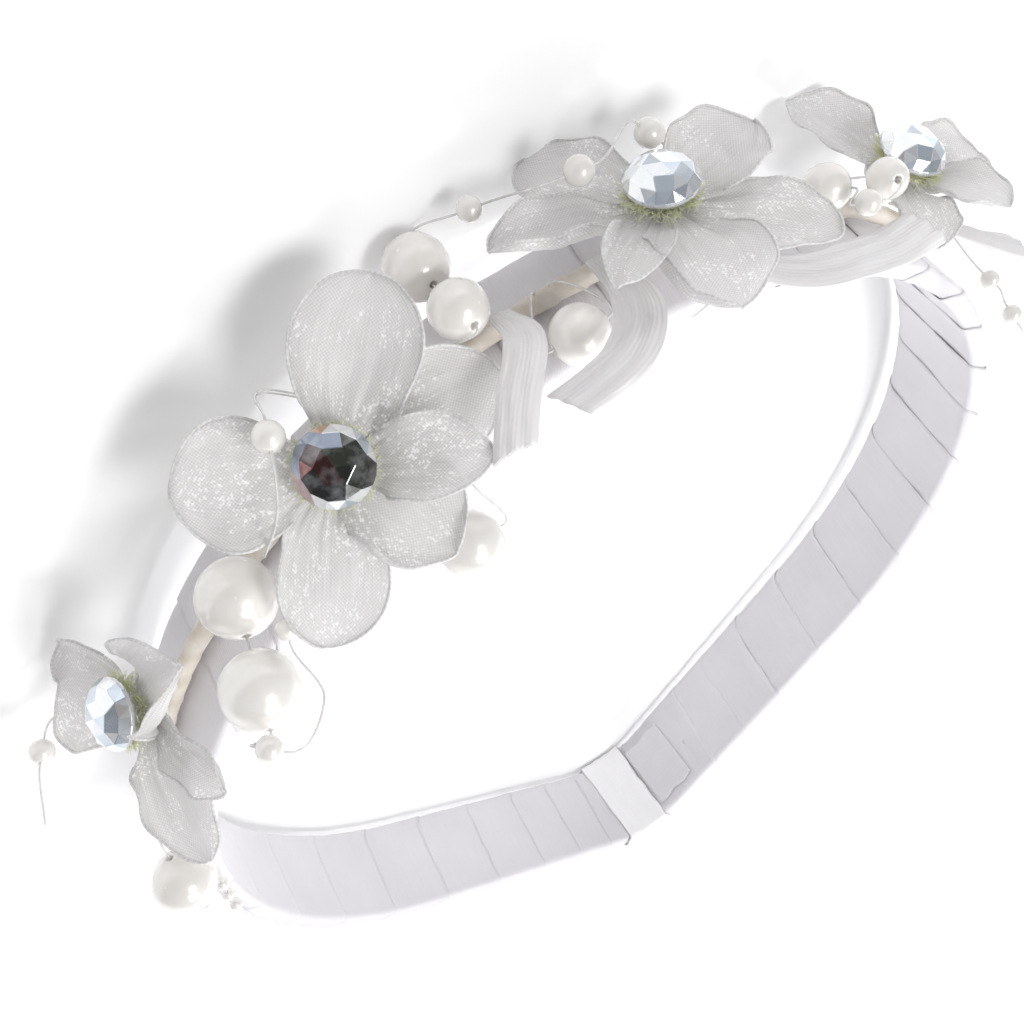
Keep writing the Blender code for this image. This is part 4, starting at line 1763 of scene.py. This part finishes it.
@dataclass
class BeadedLine:
    """A nylon line with its beads and pearls."""

    name: str
    hoop: HoopShape
    stops: tuple[LineStop, ...]
    doubled: bool = False
    radius: float = 0.00017
    step: float = 0.0006
    bead_sides: int = 28
    bead_steps: int = 18

    def _headings(self, places: Sequence[Vector]) -> list[Vector]:
        """The line's heading at each stop.

        Args:
            places: The stops' places.

        Returns:
            The headings.
        """
        found = []
        centre = self.hoop.centre
        for k, (stop, place) in enumerate(zip(self.stops, places)):
            if stop.kind is Stop.ROOT:
                outward = Vector((place.x - centre.x, place.y - centre.y, 0)).normalized()
                found.append(outward if k == 0 else -outward)
                continue
            before = places[k - 1]
            after = places[k + 1] if k + 1 < len(places) else 2 * place - before
            if stop.kind is Stop.PEARL and self.stops[k - 1].kind is Stop.PEARL:
                after = place
            elif stop.kind is Stop.PEARL and self.stops[k + 1].kind is Stop.PEARL:
                before = place
            found.append((after - before).normalized())
        return found

    def _route(self) -> tuple[list[Vector], list[tuple[Vector, Vector, LineStop]]]:
        """The line's points and where its beads and pearls sit.

        Returns:
            The points, and (place, heading, stop) for each bead and pearl.
        """
        places = [self.hoop.out_from(s.bearing, s.stand_off, s.height) for s in self.stops]
        headings = self._headings(places)
        points: list[Vector] = []
        strung = []
        for k, (stop, place, heading) in enumerate(zip(self.stops, places, headings)):
            reach = stop.diameter / 2 + 0.0003 if stop.diameter else 0.0
            entry, leave = place - heading * reach, place + heading * reach
            if points:
                points += smooth_path(points[-1], headings[k - 1], entry, heading, self.step)[1:]
            else:
                points.append(entry)
            if reach:
                strung.append((place, heading, stop))
                steps = max(2, round(2 * reach / self.step))
                points += [entry.lerp(leave, n / steps) for n in range(1, steps + 1)]
        return points, strung

    def build(self, finishes: Finishes) -> None:
        """Makes the line, its beads and its pearls.

        Args:
            finishes: The finishes.
        """
        points, strung = self._route()
        bm = new_tube_mesh()
        if self.doubled:
            for side in (-1, 1):
                shifted = []
                for k, (point, (_, across, up)) in enumerate(zip(points, ring_frames(points))):
                    turn = 0.35 * math.sin(k * 0.18)
                    apart = math.cos(turn) * across + math.sin(turn) * up
                    shifted.append(point + side * self.radius * 1.15 * apart)
                add_tube(bm, shifted, [self.radius * 0.8] * len(shifted), 8)
        else:
            add_tube(bm, points, [self.radius] * len(points), 10)
        line = link_mesh(f"{self.name}_nylon", bm, finishes.nylon)
        Piece(line, Slot.LINE, nodes=(self.name,)).settle()
        beads = [(place, heading, stop) for place, heading, stop in strung if stop.kind is Stop.BEAD]
        if beads:
            self._build_beads(beads, finishes)
        number = 0
        for _, heading, stop in strung:
            if stop.kind is Stop.PEARL:
                number += 1
                Pearl(f"{self.name}_pearl_{number}", stop.diameter, heading).build(finishes)

    def _build_beads(self, beads: Sequence[tuple[Vector, Vector, LineStop]], finishes: Finishes) -> None:
        """Makes the small beads fixed on the line.

        Args:
            beads: (place, heading, stop) for each.
            finishes: The finishes.
        """
        bm = bmesh.new()
        for place, heading, stop in beads:
            ball = bead_outline(stop.diameter / 2, self.radius, self.bead_steps)
            lathe(bm, ball, self.bead_sides, place, heading)
        piece = link_mesh(f"{self.name}_beads", bm, finishes.bead)
        Piece(piece, Slot.LINE).settle()


def bead_outline(radius: float, hole: float, steps: int) -> list[tuple[float, float]]:
    """A drilled ball's outline, from one mouth of its hole round to the other.

    Args:
        radius: The ball's radius.
        hole: The hole's radius.
        steps: Points along the outline.

    Returns:
        (distance from the axis, height) of each point.
    """
    chamfer = 0.25 * hole
    start = math.asin(min(1.0, (hole + chamfer) / radius))
    angles = [start + (math.pi - 2 * start) * k / steps for k in range(steps + 1)]
    mouth = radius * math.cos(start) - chamfer
    ball = [(radius * math.sin(a), radius * math.cos(a)) for a in angles]
    return [(hole, mouth), *ball, (hole, -mouth)]


def lathe(
    bm: bmesh.types.BMesh,
    outline: Sequence[tuple[float, float]],
    sides: int,
    place: Vector,
    heading: Vector,
) -> None:
    """Turns an outline about an axis into a closed ring of faces.

    Args:
        bm: The mesh that it is added to.
        outline: (distance from the axis, height) of each point.
        sides: Steps round the axis.
        place: Its middle.
        heading: The axis.
    """
    into = Matrix.Translation(place) @ heading.to_track_quat("Z", "Y").to_matrix().to_4x4()
    rings = []
    for out, up in outline:
        turn = [2 * math.pi * k / sides for k in range(sides)]
        rings.append([bm.verts.new(into @ Vector((out * math.cos(a), out * math.sin(a), up))) for a in turn])
    for lower, upper in zip(rings, rings[1:] + rings[:1]):
        for k in range(sides):
            n = (k + 1) % sides
            bm.faces.new((lower[k], upper[k], upper[n], lower[n]))


@dataclass
class Pearl:
    """A drilled pearl that turns on its line."""

    name: str
    diameter: float
    heading: Vector
    hole_radius: float = 0.00052
    sides: int = 56
    steps: int = 36

    def build(self, finishes: Finishes) -> None:
        """Makes the pearl on its joint's axis.

        Args:
            finishes: The finishes.
        """
        low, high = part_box(self.name)
        body = self.name.replace("pearl_line_", "line_")
        bm = bmesh.new()
        ball = bead_outline(self.diameter / 2, self.hole_radius, self.steps)
        lathe(bm, ball, self.sides, (low + high) / 2, self.heading)
        piece = link_mesh(f"{self.name}_lacquered", bm, finishes.pearl)
        Piece(piece, Slot.PEARL, body, (self.name,)).settle()


# ---- Satin ribbon ends


@dataclass
class SatinEnd:
    """A satin ribbon folded lengthwise, standing out from the spine in a loop or a leaf."""

    name: str
    hoop: HoopShape
    width: float
    root: float
    stops: tuple[tuple[float, float, float], ...]
    root_stand_off: float = 0.0040
    gap: float = 0.00034
    thickness: float = 0.00014
    step: float = 0.0007
    bow: float = 0.0006
    twist: float = 10.0  # how far the ribbon turns about its own length, in degrees
    pinch: float = 0.55  # its width where it is bound in, as a share
    slant: float = 0.0012  # how far its cut end slants
    seed: float = 1.0

    def build(self, finishes: Finishes) -> None:
        """Lays the ribbon.

        Args:
            finishes: The finishes.
        """
        hoop = self.hoop
        places = [hoop.out_from(self.root, self.root_stand_off, 0.0)]
        places += [hoop.out_from(*stop) for stop in self.stops]
        last = len(places) - 1
        headings = [(places[min(k + 1, last)] - places[max(k - 1, 0)]).normalized() for k in range(last + 1)]
        points = [places[0]]
        for k in range(last):
            points += smooth_path(places[k], headings[k], places[k + 1], headings[k + 1], self.step)[1:]
        rows, widths, lengths = [], [], []
        travelled = 0.0
        columns = 12
        fold_steps = 4
        for k, point in enumerate(points):
            heading = (points[min(k + 1, len(points) - 1)] - points[max(k - 1, 0)]).normalized()
            outward = Vector((point.x - hoop.centre.x, point.y - hoop.centre.y, 0)).normalized()
            across = heading.cross(outward).normalized()
            face = across.cross(heading).normalized()
            face = face if face.dot(outward) > 0 else -face
            if k:
                travelled += (point - points[k - 1]).length
            share = k / (len(points) - 1)
            turned = Matrix.Rotation(math.radians(self.twist) * (share - 0.4), 3, heading)
            across, face = turned @ across, turned @ face
            opened = self.pinch + (1 - self.pinch) * smooth_step(share, 0.0, 0.45)
            row, width_row = [], []
            for side, depth, way in self._section(columns, fold_steps):
                flutes = math.sin(side * 9 + travelled * 260 + self.seed) * 0.00016 * (0.3 + share)
                ripple = crumple(Vector((side * 0.004, travelled, 0.0)), 300.0, self.seed) * 0.0003 + flutes
                gap = crumple(Vector((side * 0.003, travelled, 0.01)), 260.0, self.seed + 4) * 0.00010
                arch = self.bow * (1 - side * side) * (0.4 + 0.9 * share)
                rise = depth + math.copysign(gap * share, depth) + arch + ripple
                lean = heading * self.slant * side * smooth_step(share, 0.75, 1.0)
                row.append(point + across * side * opened * self.width / 2 + face * rise + lean)
                width_row.append(way)
            rows.append(row)
            widths.append(width_row)
            lengths.append(travelled)
        made = cloth(f"{self.name}_ribbon", rows, widths, lengths, finishes.ribbon_end, self.thickness)
        Piece(made, Slot.SATIN, nodes=(self.name,)).settle()
        cut_width = 2 * self.width

    def _section(self, columns: int, fold_steps: int) -> list[tuple[float, float, float]]:
        """The folded ribbon's cross-section.

        Args:
            columns: Steps across each layer.
            fold_steps: Steps round the fold.

        Returns:
            (side from -1 to 1, depth, distance across the ribbon) for each point.
        """
        half = self.gap / 2
        found = [(2 * k / columns - 1, half, k / columns * self.width) for k in range(columns + 1)]
        for k in range(1, fold_steps):
            turn = math.pi * k / fold_steps
            bulge = half / (self.width / 2)
            found.append((1 + bulge * math.sin(turn), half * math.cos(turn), self.width + half * turn))
        way = self.width + half * math.pi
        found += [(1 - 2 * k / columns, -half, way + k / columns * self.width) for k in range(columns + 1)]
        return found


# ---- The whole crown


@dataclass
class Garland:
    """Everything that stands along the front of the hoop."""

    hoop: HoopShape

    def flowers(self) -> list[Flower]:
        """The four flowers."""
        return [
            Flower(
                "flower_a",
                self.hoop,
                bearing=53.0,
                stand_off=0.0092,
                height=0.0034,
                turn=-3.0,
                tilt=6.6,
                stone=Slot.CLEAR_STONE,
                seed=11,
                petals=(
                    Petal(145, 0.0185, 0.0190, 0, 8, 6, cup=34, left=25, right=20, tip=10),
                    Petal(-66, 0.0225, 0.0180, 2, 20, 8, cup=34, fold=16, left=10, right=60),
                    Petal(16, 0.0235, 0.0165, 0, 2, 6, cup=16, left=-20, right=120, lean=1.1),
                    Petal(-24, 0.0250, 0.0090, 1, 9, 8, cup=40, fold=10, tip=30),
                ),
            ),
            Flower(
                "flower_b",
                self.hoop,
                bearing=23.3,
                stand_off=0.0104,
                height=0.0071,
                turn=-15.6,
                tilt=36.0,
                stone=Slot.DARK_STONE,
                seed=23,
                petals=(
                    Petal(-134, 0.0245, 0.0172, 1, 12, 12, cup=22, left=-26, right=18, tip=-18, fold=5),
                    Petal(-86, 0.0240, 0.0150, 0, 0, 4, cup=18, tip=8, left=14),
                    Petal(-60, 0.0200, 0.0125, 2, 26, 14, cup=40, fold=10, left=-14, right=20),
                    Petal(-20, 0.0185, 0.0172, 1, 12, 10, cup=22, left=16, right=95, tip=20),
                    Petal(38, 0.0225, 0.0160, 0, 0, 4, cup=20, left=12, right=70),
                    Petal(114, 0.0200, 0.0172, 1, 6, 8, cup=24, left=20, right=-18, tip=12),
                ),
            ),
            Flower(
                "flower_c",
                self.hoop,
                bearing=-10.6,
                stand_off=0.0092,
                height=0.0013,
                turn=6.9,
                tilt=-2.6,
                stone=Slot.CLEAR_STONE,
                seed=37,
                petals=(
                    Petal(150, 0.0215, 0.0155, 0, 0, 2, cup=18, left=10, tip=10),
                    Petal(96, 0.0250, 0.0120, 1, 12, 4, cup=24, left=85, fold=6),
                    Petal(49, 0.0235, 0.0100, 2, 24, 12, cup=36, right=60),
                    Petal(13, 0.0240, 0.0178, 1, 8, 8, cup=24, left=14, right=90, tip=26),
                    Petal(-42, 0.0235, 0.0140, 0, 0, 4, cup=22, right=18),
                    Petal(-102, 0.0185, 0.0150, 1, 10, 8, cup=30, left=20, tip=14),
                ),
            ),
            Flower(
                "flower_d",
                self.hoop,
                bearing=-39.1,
                stand_off=0.0094,
                height=0.0024,
                turn=17.7,
                tilt=8.6,
                stone=Slot.CLEAR_STONE,
                seed=41,
                petals=(
                    Petal(158, 0.0200, 0.0140, 0, 0, 4, cup=26, right=22),
                    Petal(18, 0.0150, 0.0115, 0, 0, 6, cup=30, left=20),
                    Petal(-32, 0.0165, 0.0125, 2, 18, 8, cup=34, right=24),
                    Petal(-86, 0.0160, 0.0140, 1, 8, 8, cup=28, left=24, tip=10),
                ),
            ),
        ]

    def lines(self) -> list[BeadedLine]:
        """The pearl lines and bead sprays.

        Returns:
            One line for each route.
        """
        root, pearl, bead, bend, end = Stop.ROOT, Stop.PEARL, Stop.BEAD, Stop.BEND, Stop.END
        routes: dict[str, tuple[LineStop, ...]] = {
            "pearl_line_1": (
                LineStop(root, 33.5),
                LineStop(pearl, 36.2, 0.0104, 0.0094, 0.0108),
                LineStop(pearl, 38.8, 0.0104, 0.0213, 0.0106),
                LineStop(bead, 39.8, 0.0124, 0.0292, 0.0036),
                LineStop(bend, 36.6, 0.0052, 0.0262),
                LineStop(bead, 34.8, 0.0080, 0.0170, 0.0030),
                LineStop(bend, 31.9, 0.0058, 0.0090),
                LineStop(root, 30.2),
            ),
            "pearl_line_2": (
                LineStop(root, 17.0),
                LineStop(bend, 19.5, 0.0030, 0.0150),
                LineStop(pearl, 19.8, -0.0040, 0.0200, 0.0090),
                LineStop(bend, 16.0, 0.0010, 0.0150),
                LineStop(root, 14.5),
            ),
            "pearl_line_3": (
                LineStop(root, 11.5),
                LineStop(pearl, 8.2, 0.0085, -0.0010, 0.0082),
                LineStop(pearl, 8.5, 0.0073, -0.0118, 0.0094),
                LineStop(bend, 7.2, 0.0082, -0.0165),
                LineStop(bead, 2.5, 0.0110, -0.0120, 0.0036),
                LineStop(bead, -5.5, 0.0144, -0.0058, 0.0042),
                LineStop(bead, -12.9, 0.0140, -0.0078, 0.0042),
                LineStop(root, -12.0),
            ),
            "pearl_line_4": (
                LineStop(root, 1.8),
                LineStop(pearl, 1.3, 0.0046, 0.0099, 0.0082),
                LineStop(root, 0.2),
            ),
            "pearl_line_5": (
                LineStop(root, -22.5),
                LineStop(pearl, -27.6, 0.0084, 0.0047, 0.0070),
                LineStop(bead, -28.0, 0.0104, 0.0115, 0.0038),
                LineStop(pearl, -32.0, 0.0119, 0.0082, 0.0060),
                LineStop(root, -31.5),
            ),
            "pearl_line_6": (
                LineStop(root, 66.0),
                LineStop(pearl, 72.0, 0.0046, 0.0160, 0.0100),
                LineStop(bead, 81.0, -0.0016, 0.0132, 0.0022),
                LineStop(bead, 85.0, -0.0016, 0.0128, 0.0022),
                LineStop(bead, 89.0, -0.0016, 0.0126, 0.0022),
                LineStop(end, 97.0, -0.0016, 0.0122),
            ),
            "bead_spray_1": (
                LineStop(root, 19.5),
                LineStop(bend, 22.4, 0.0120, -0.0045),
                LineStop(bend, 23.7, 0.0183, -0.0032),
                LineStop(bead, 24.2, 0.0204, 0.0047, 0.0042),
                LineStop(bend, 27.0, 0.0180, 0.0114),
                LineStop(bend, 31.3, 0.0125, 0.0104),
                LineStop(root, 28.4),
            ),
            "bead_spray_2": (
                LineStop(root, 58.0),
                LineStop(bend, 62.0, 0.0140, -0.0090),
                LineStop(bead, 61.5, 0.0190, -0.0030, 0.0038),
                LineStop(end, 62.0, 0.0225, 0.0080),
            ),
            "bead_spray_3": (
                LineStop(root, -47.0),
                LineStop(bead, -48.5, 0.0040, 0.0180, 0.0030),
                LineStop(bead, -50.0, 0.0020, 0.0235, 0.0030),
                LineStop(end, -51.0, 0.0010, 0.0262),
            ),
        }
        doubled = "bead_spray_1"
        return [BeadedLine(name, self.hoop, stops, name == doubled) for name, stops in routes.items()]

    def satin_ends(self) -> list[SatinEnd]:
        """The satin ribbon ends."""
        hoop = self.hoop
        return [
            SatinEnd(
                "satin_loop_1",
                hoop,
                0.0065,
                -5.0,
                ((-3.6, 0.0072, 0.0120), (0.6, 0.0092, 0.0196), (6.4, 0.0074, 0.0200)),
            ),
            SatinEnd(
                "satin_loop_2",
                hoop,
                0.0055,
                5.3,
                ((5.8, 0.0084, 0.0090), (9.5, 0.0088, 0.0165), (12.0, 0.0080, 0.0215)),
                seed=2.0,
            ),
            SatinEnd(
                "satin_strip",
                hoop,
                0.0065,
                -18.0,
                ((-17.0, 0.0052, 0.0140), (-26.0, 0.0072, 0.0182), (-34.5, 0.0085, 0.0150)),
                seed=3.0,
            ),
            SatinEnd(
                "satin_leaf",
                hoop,
                0.0060,
                -44.5,
                ((-45.5, 0.0070, 0.0110), (-49.5, 0.0100, 0.0175)),
                seed=4.0,
            ),
        ]

    def build(self, finishes: Finishes) -> None:
        """Builds the garland.

        Args:
            finishes: The finishes.
        """
        TapedStem(self.hoop).build(finishes)
        for flower in self.flowers():
            flower.build(finishes)
        for line in self.lines():
            line.build(finishes)
        for ribbon in self.satin_ends():
            ribbon.build(finishes)


@dataclass
class Band:
    """The wrapped hoop with its collar and folded end."""

    hoop: HoopShape

    def build(self, finishes: Finishes) -> None:
        """Builds the band.

        Args:
            finishes: The finishes.
        """
        dress("band_strip", finishes.strip)
        dress("joint_tape", finishes.tape)
        wrap = RibbonWrap(self.hoop)
        wound = wrap.build(finishes.wrap)
        Piece(wound, Slot.SATIN, nodes=("ribbon_wrap",)).settle()
        length = face_area(wound) / 2 / wrap.ribbon_width
        back = BackCollar(self.hoop)
        collar = back.build_collar(finishes.collar)
        Piece(collar, Slot.SATIN, nodes=("joint_collar",)).settle()
        tail = back.build_tail(finishes.wrap)
        Piece(tail, Slot.SATIN, nodes=("ribbon_tail",)).settle()
        across = self.hoop.width * (1 - 2 * back.tail_inset)
        face_area(tail) / 2 / across


@dataclass
class Studio:
    """The table, the lights and the camera."""

    hoop: HoopShape
    camera_place: Vector = field(default_factory=lambda: Vector((0.0551, -0.2206, 0.1170)))
    look: Vector = field(default_factory=lambda: Vector((-0.201408, 0.839632, -0.504433)))
    right: Vector = field(default_factory=lambda: Vector((-0.836577, 0.120413, 0.534453)))
    lens: float = 47.24
    sensor: float = 36.0
    table_size: float = 3.0
    back_lift: float = 0.0062  # the back rests this much higher than the front petals
    reach: float = 0.104
    card_size: float = 0.16
    backdrop_reach: float = 0.55
    sweep: float = 0.35

    def build_camera(self) -> None:
        """Sets the camera at the view that the crown is shown from."""
        data = bpy.data.cameras.new("view")
        data.lens = self.lens
        data.sensor_width = self.sensor
        data.clip_start = 0.01
        data.clip_end = 20
        camera = bpy.data.objects.new("view", data)
        bpy.context.scene.collection.objects.link(camera)
        back = -self.look.normalized()
        up = back.cross(self.right).normalized()
        turned = Matrix((self.right.normalized(), up, back)).transposed().to_4x4()
        camera.matrix_world = Matrix.Translation(self.hoop.centre + self.camera_place) @ turned
        bpy.context.scene.camera = camera

    def build_table(self, finishes: Finishes) -> None:
        """Lays the table where the crown comes to rest on its front petals and its back.

        Args:
            finishes: The finishes.
        """
        bm = bmesh.new()
        bmesh.ops.create_grid(bm, x_segments=8, y_segments=8, size=self.table_size)
        table = link_mesh("table", bm, finishes.table)
        tilt = math.atan2(self.back_lift, 2 * self.reach)
        table.rotation_euler = (tilt, 0, 0)
        table.location = (0, 0, self.back_lift / 2 - 0.0001)

    def build_backdrop(self, finishes: Finishes) -> None:
        """Hangs a bright sheet behind the table, curving down to it.

        Args:
            finishes: The finishes.
        """
        rows = []
        for k in range(25):
            turn = math.pi / 2 * min(1.0, k / 16)
            lift = max(0, k - 16) * 0.15
            y = self.backdrop_reach + self.sweep * math.sin(turn)
            z = self.back_lift + self.sweep * (1 - math.cos(turn)) + lift
            rows.append([Vector((x * 0.5, y, z)) for x in range(-5, 6)])
        flat = [[float(k) for k in range(11)] for _ in rows]
        sheet = cloth("backdrop", rows, flat, [float(k) for k in range(25)], finishes.backdrop, 0.0)

    def build_lights(self) -> None:
        """Hangs the soft lights and sets the surround."""
        world = bpy.data.worlds.new("studio")
        world.use_nodes = True
        surround = world.node_tree.nodes["Background"]
        surround.inputs["Color"].default_value = (0.96, 0.97, 1.0, 1.0)
        surround.inputs["Strength"].default_value = 0.345
        bpy.context.scene.world = world
        for name, place, size, power in (
            ("window", Vector((-0.15, -0.40, 0.85)), 0.26, 3.6),
            ("key", Vector((-0.30, 1.10, 1.35)), 0.60, 70.0),
            ("top", Vector((0.0, 0.0, 1.60)), 0.80, 6.0),
        ):
            data = bpy.data.lights.new(name, "AREA")
            data.size = size
            data.energy = power
            light = bpy.data.objects.new(name, data)
            light.location = place
            light.rotation_euler = (-place).to_track_quat("-Z", "Y").to_euler()
            bpy.context.scene.collection.objects.link(light)

    def build_card(self, finishes: Finishes) -> None:
        """Stands a dark card beside the camera, for the pearls and the stones to mirror.

        Args:
            finishes: The finishes.
        """
        bm = bmesh.new()
        bmesh.ops.create_grid(bm, x_segments=4, y_segments=4, size=self.card_size / 2)
        card = link_mesh("dark_card", bm, finishes.card)
        place = self.hoop.centre + self.camera_place - self.look * 0.12 - self.right * 0.10
        card.location = place
        card.rotation_euler = (self.hoop.centre - place).to_track_quat("Z", "Y").to_euler()
        card.visible_camera = False

    def build(self, finishes: Finishes) -> None:
        """Builds the studio.

        Args:
            finishes: The finishes.
        """
        bpy.context.scene.view_settings.view_transform = "Standard"
        self.build_camera()
        self.build_table(finishes)
        self.build_backdrop(finishes)
        self.build_card(finishes)
        self.build_lights()


def main() -> None:
    """Builds the crown and its studio."""
    logging.basicConfig(level=logging.INFO, format="%(name)s: %(message)s")
    hoop = HoopShape()
    finishes = Finishes()
    Studio(hoop).build(finishes)
    Band(hoop).build(finishes)
    Garland(hoop).build(finishes)


if __name__ == "__main__":
    main()
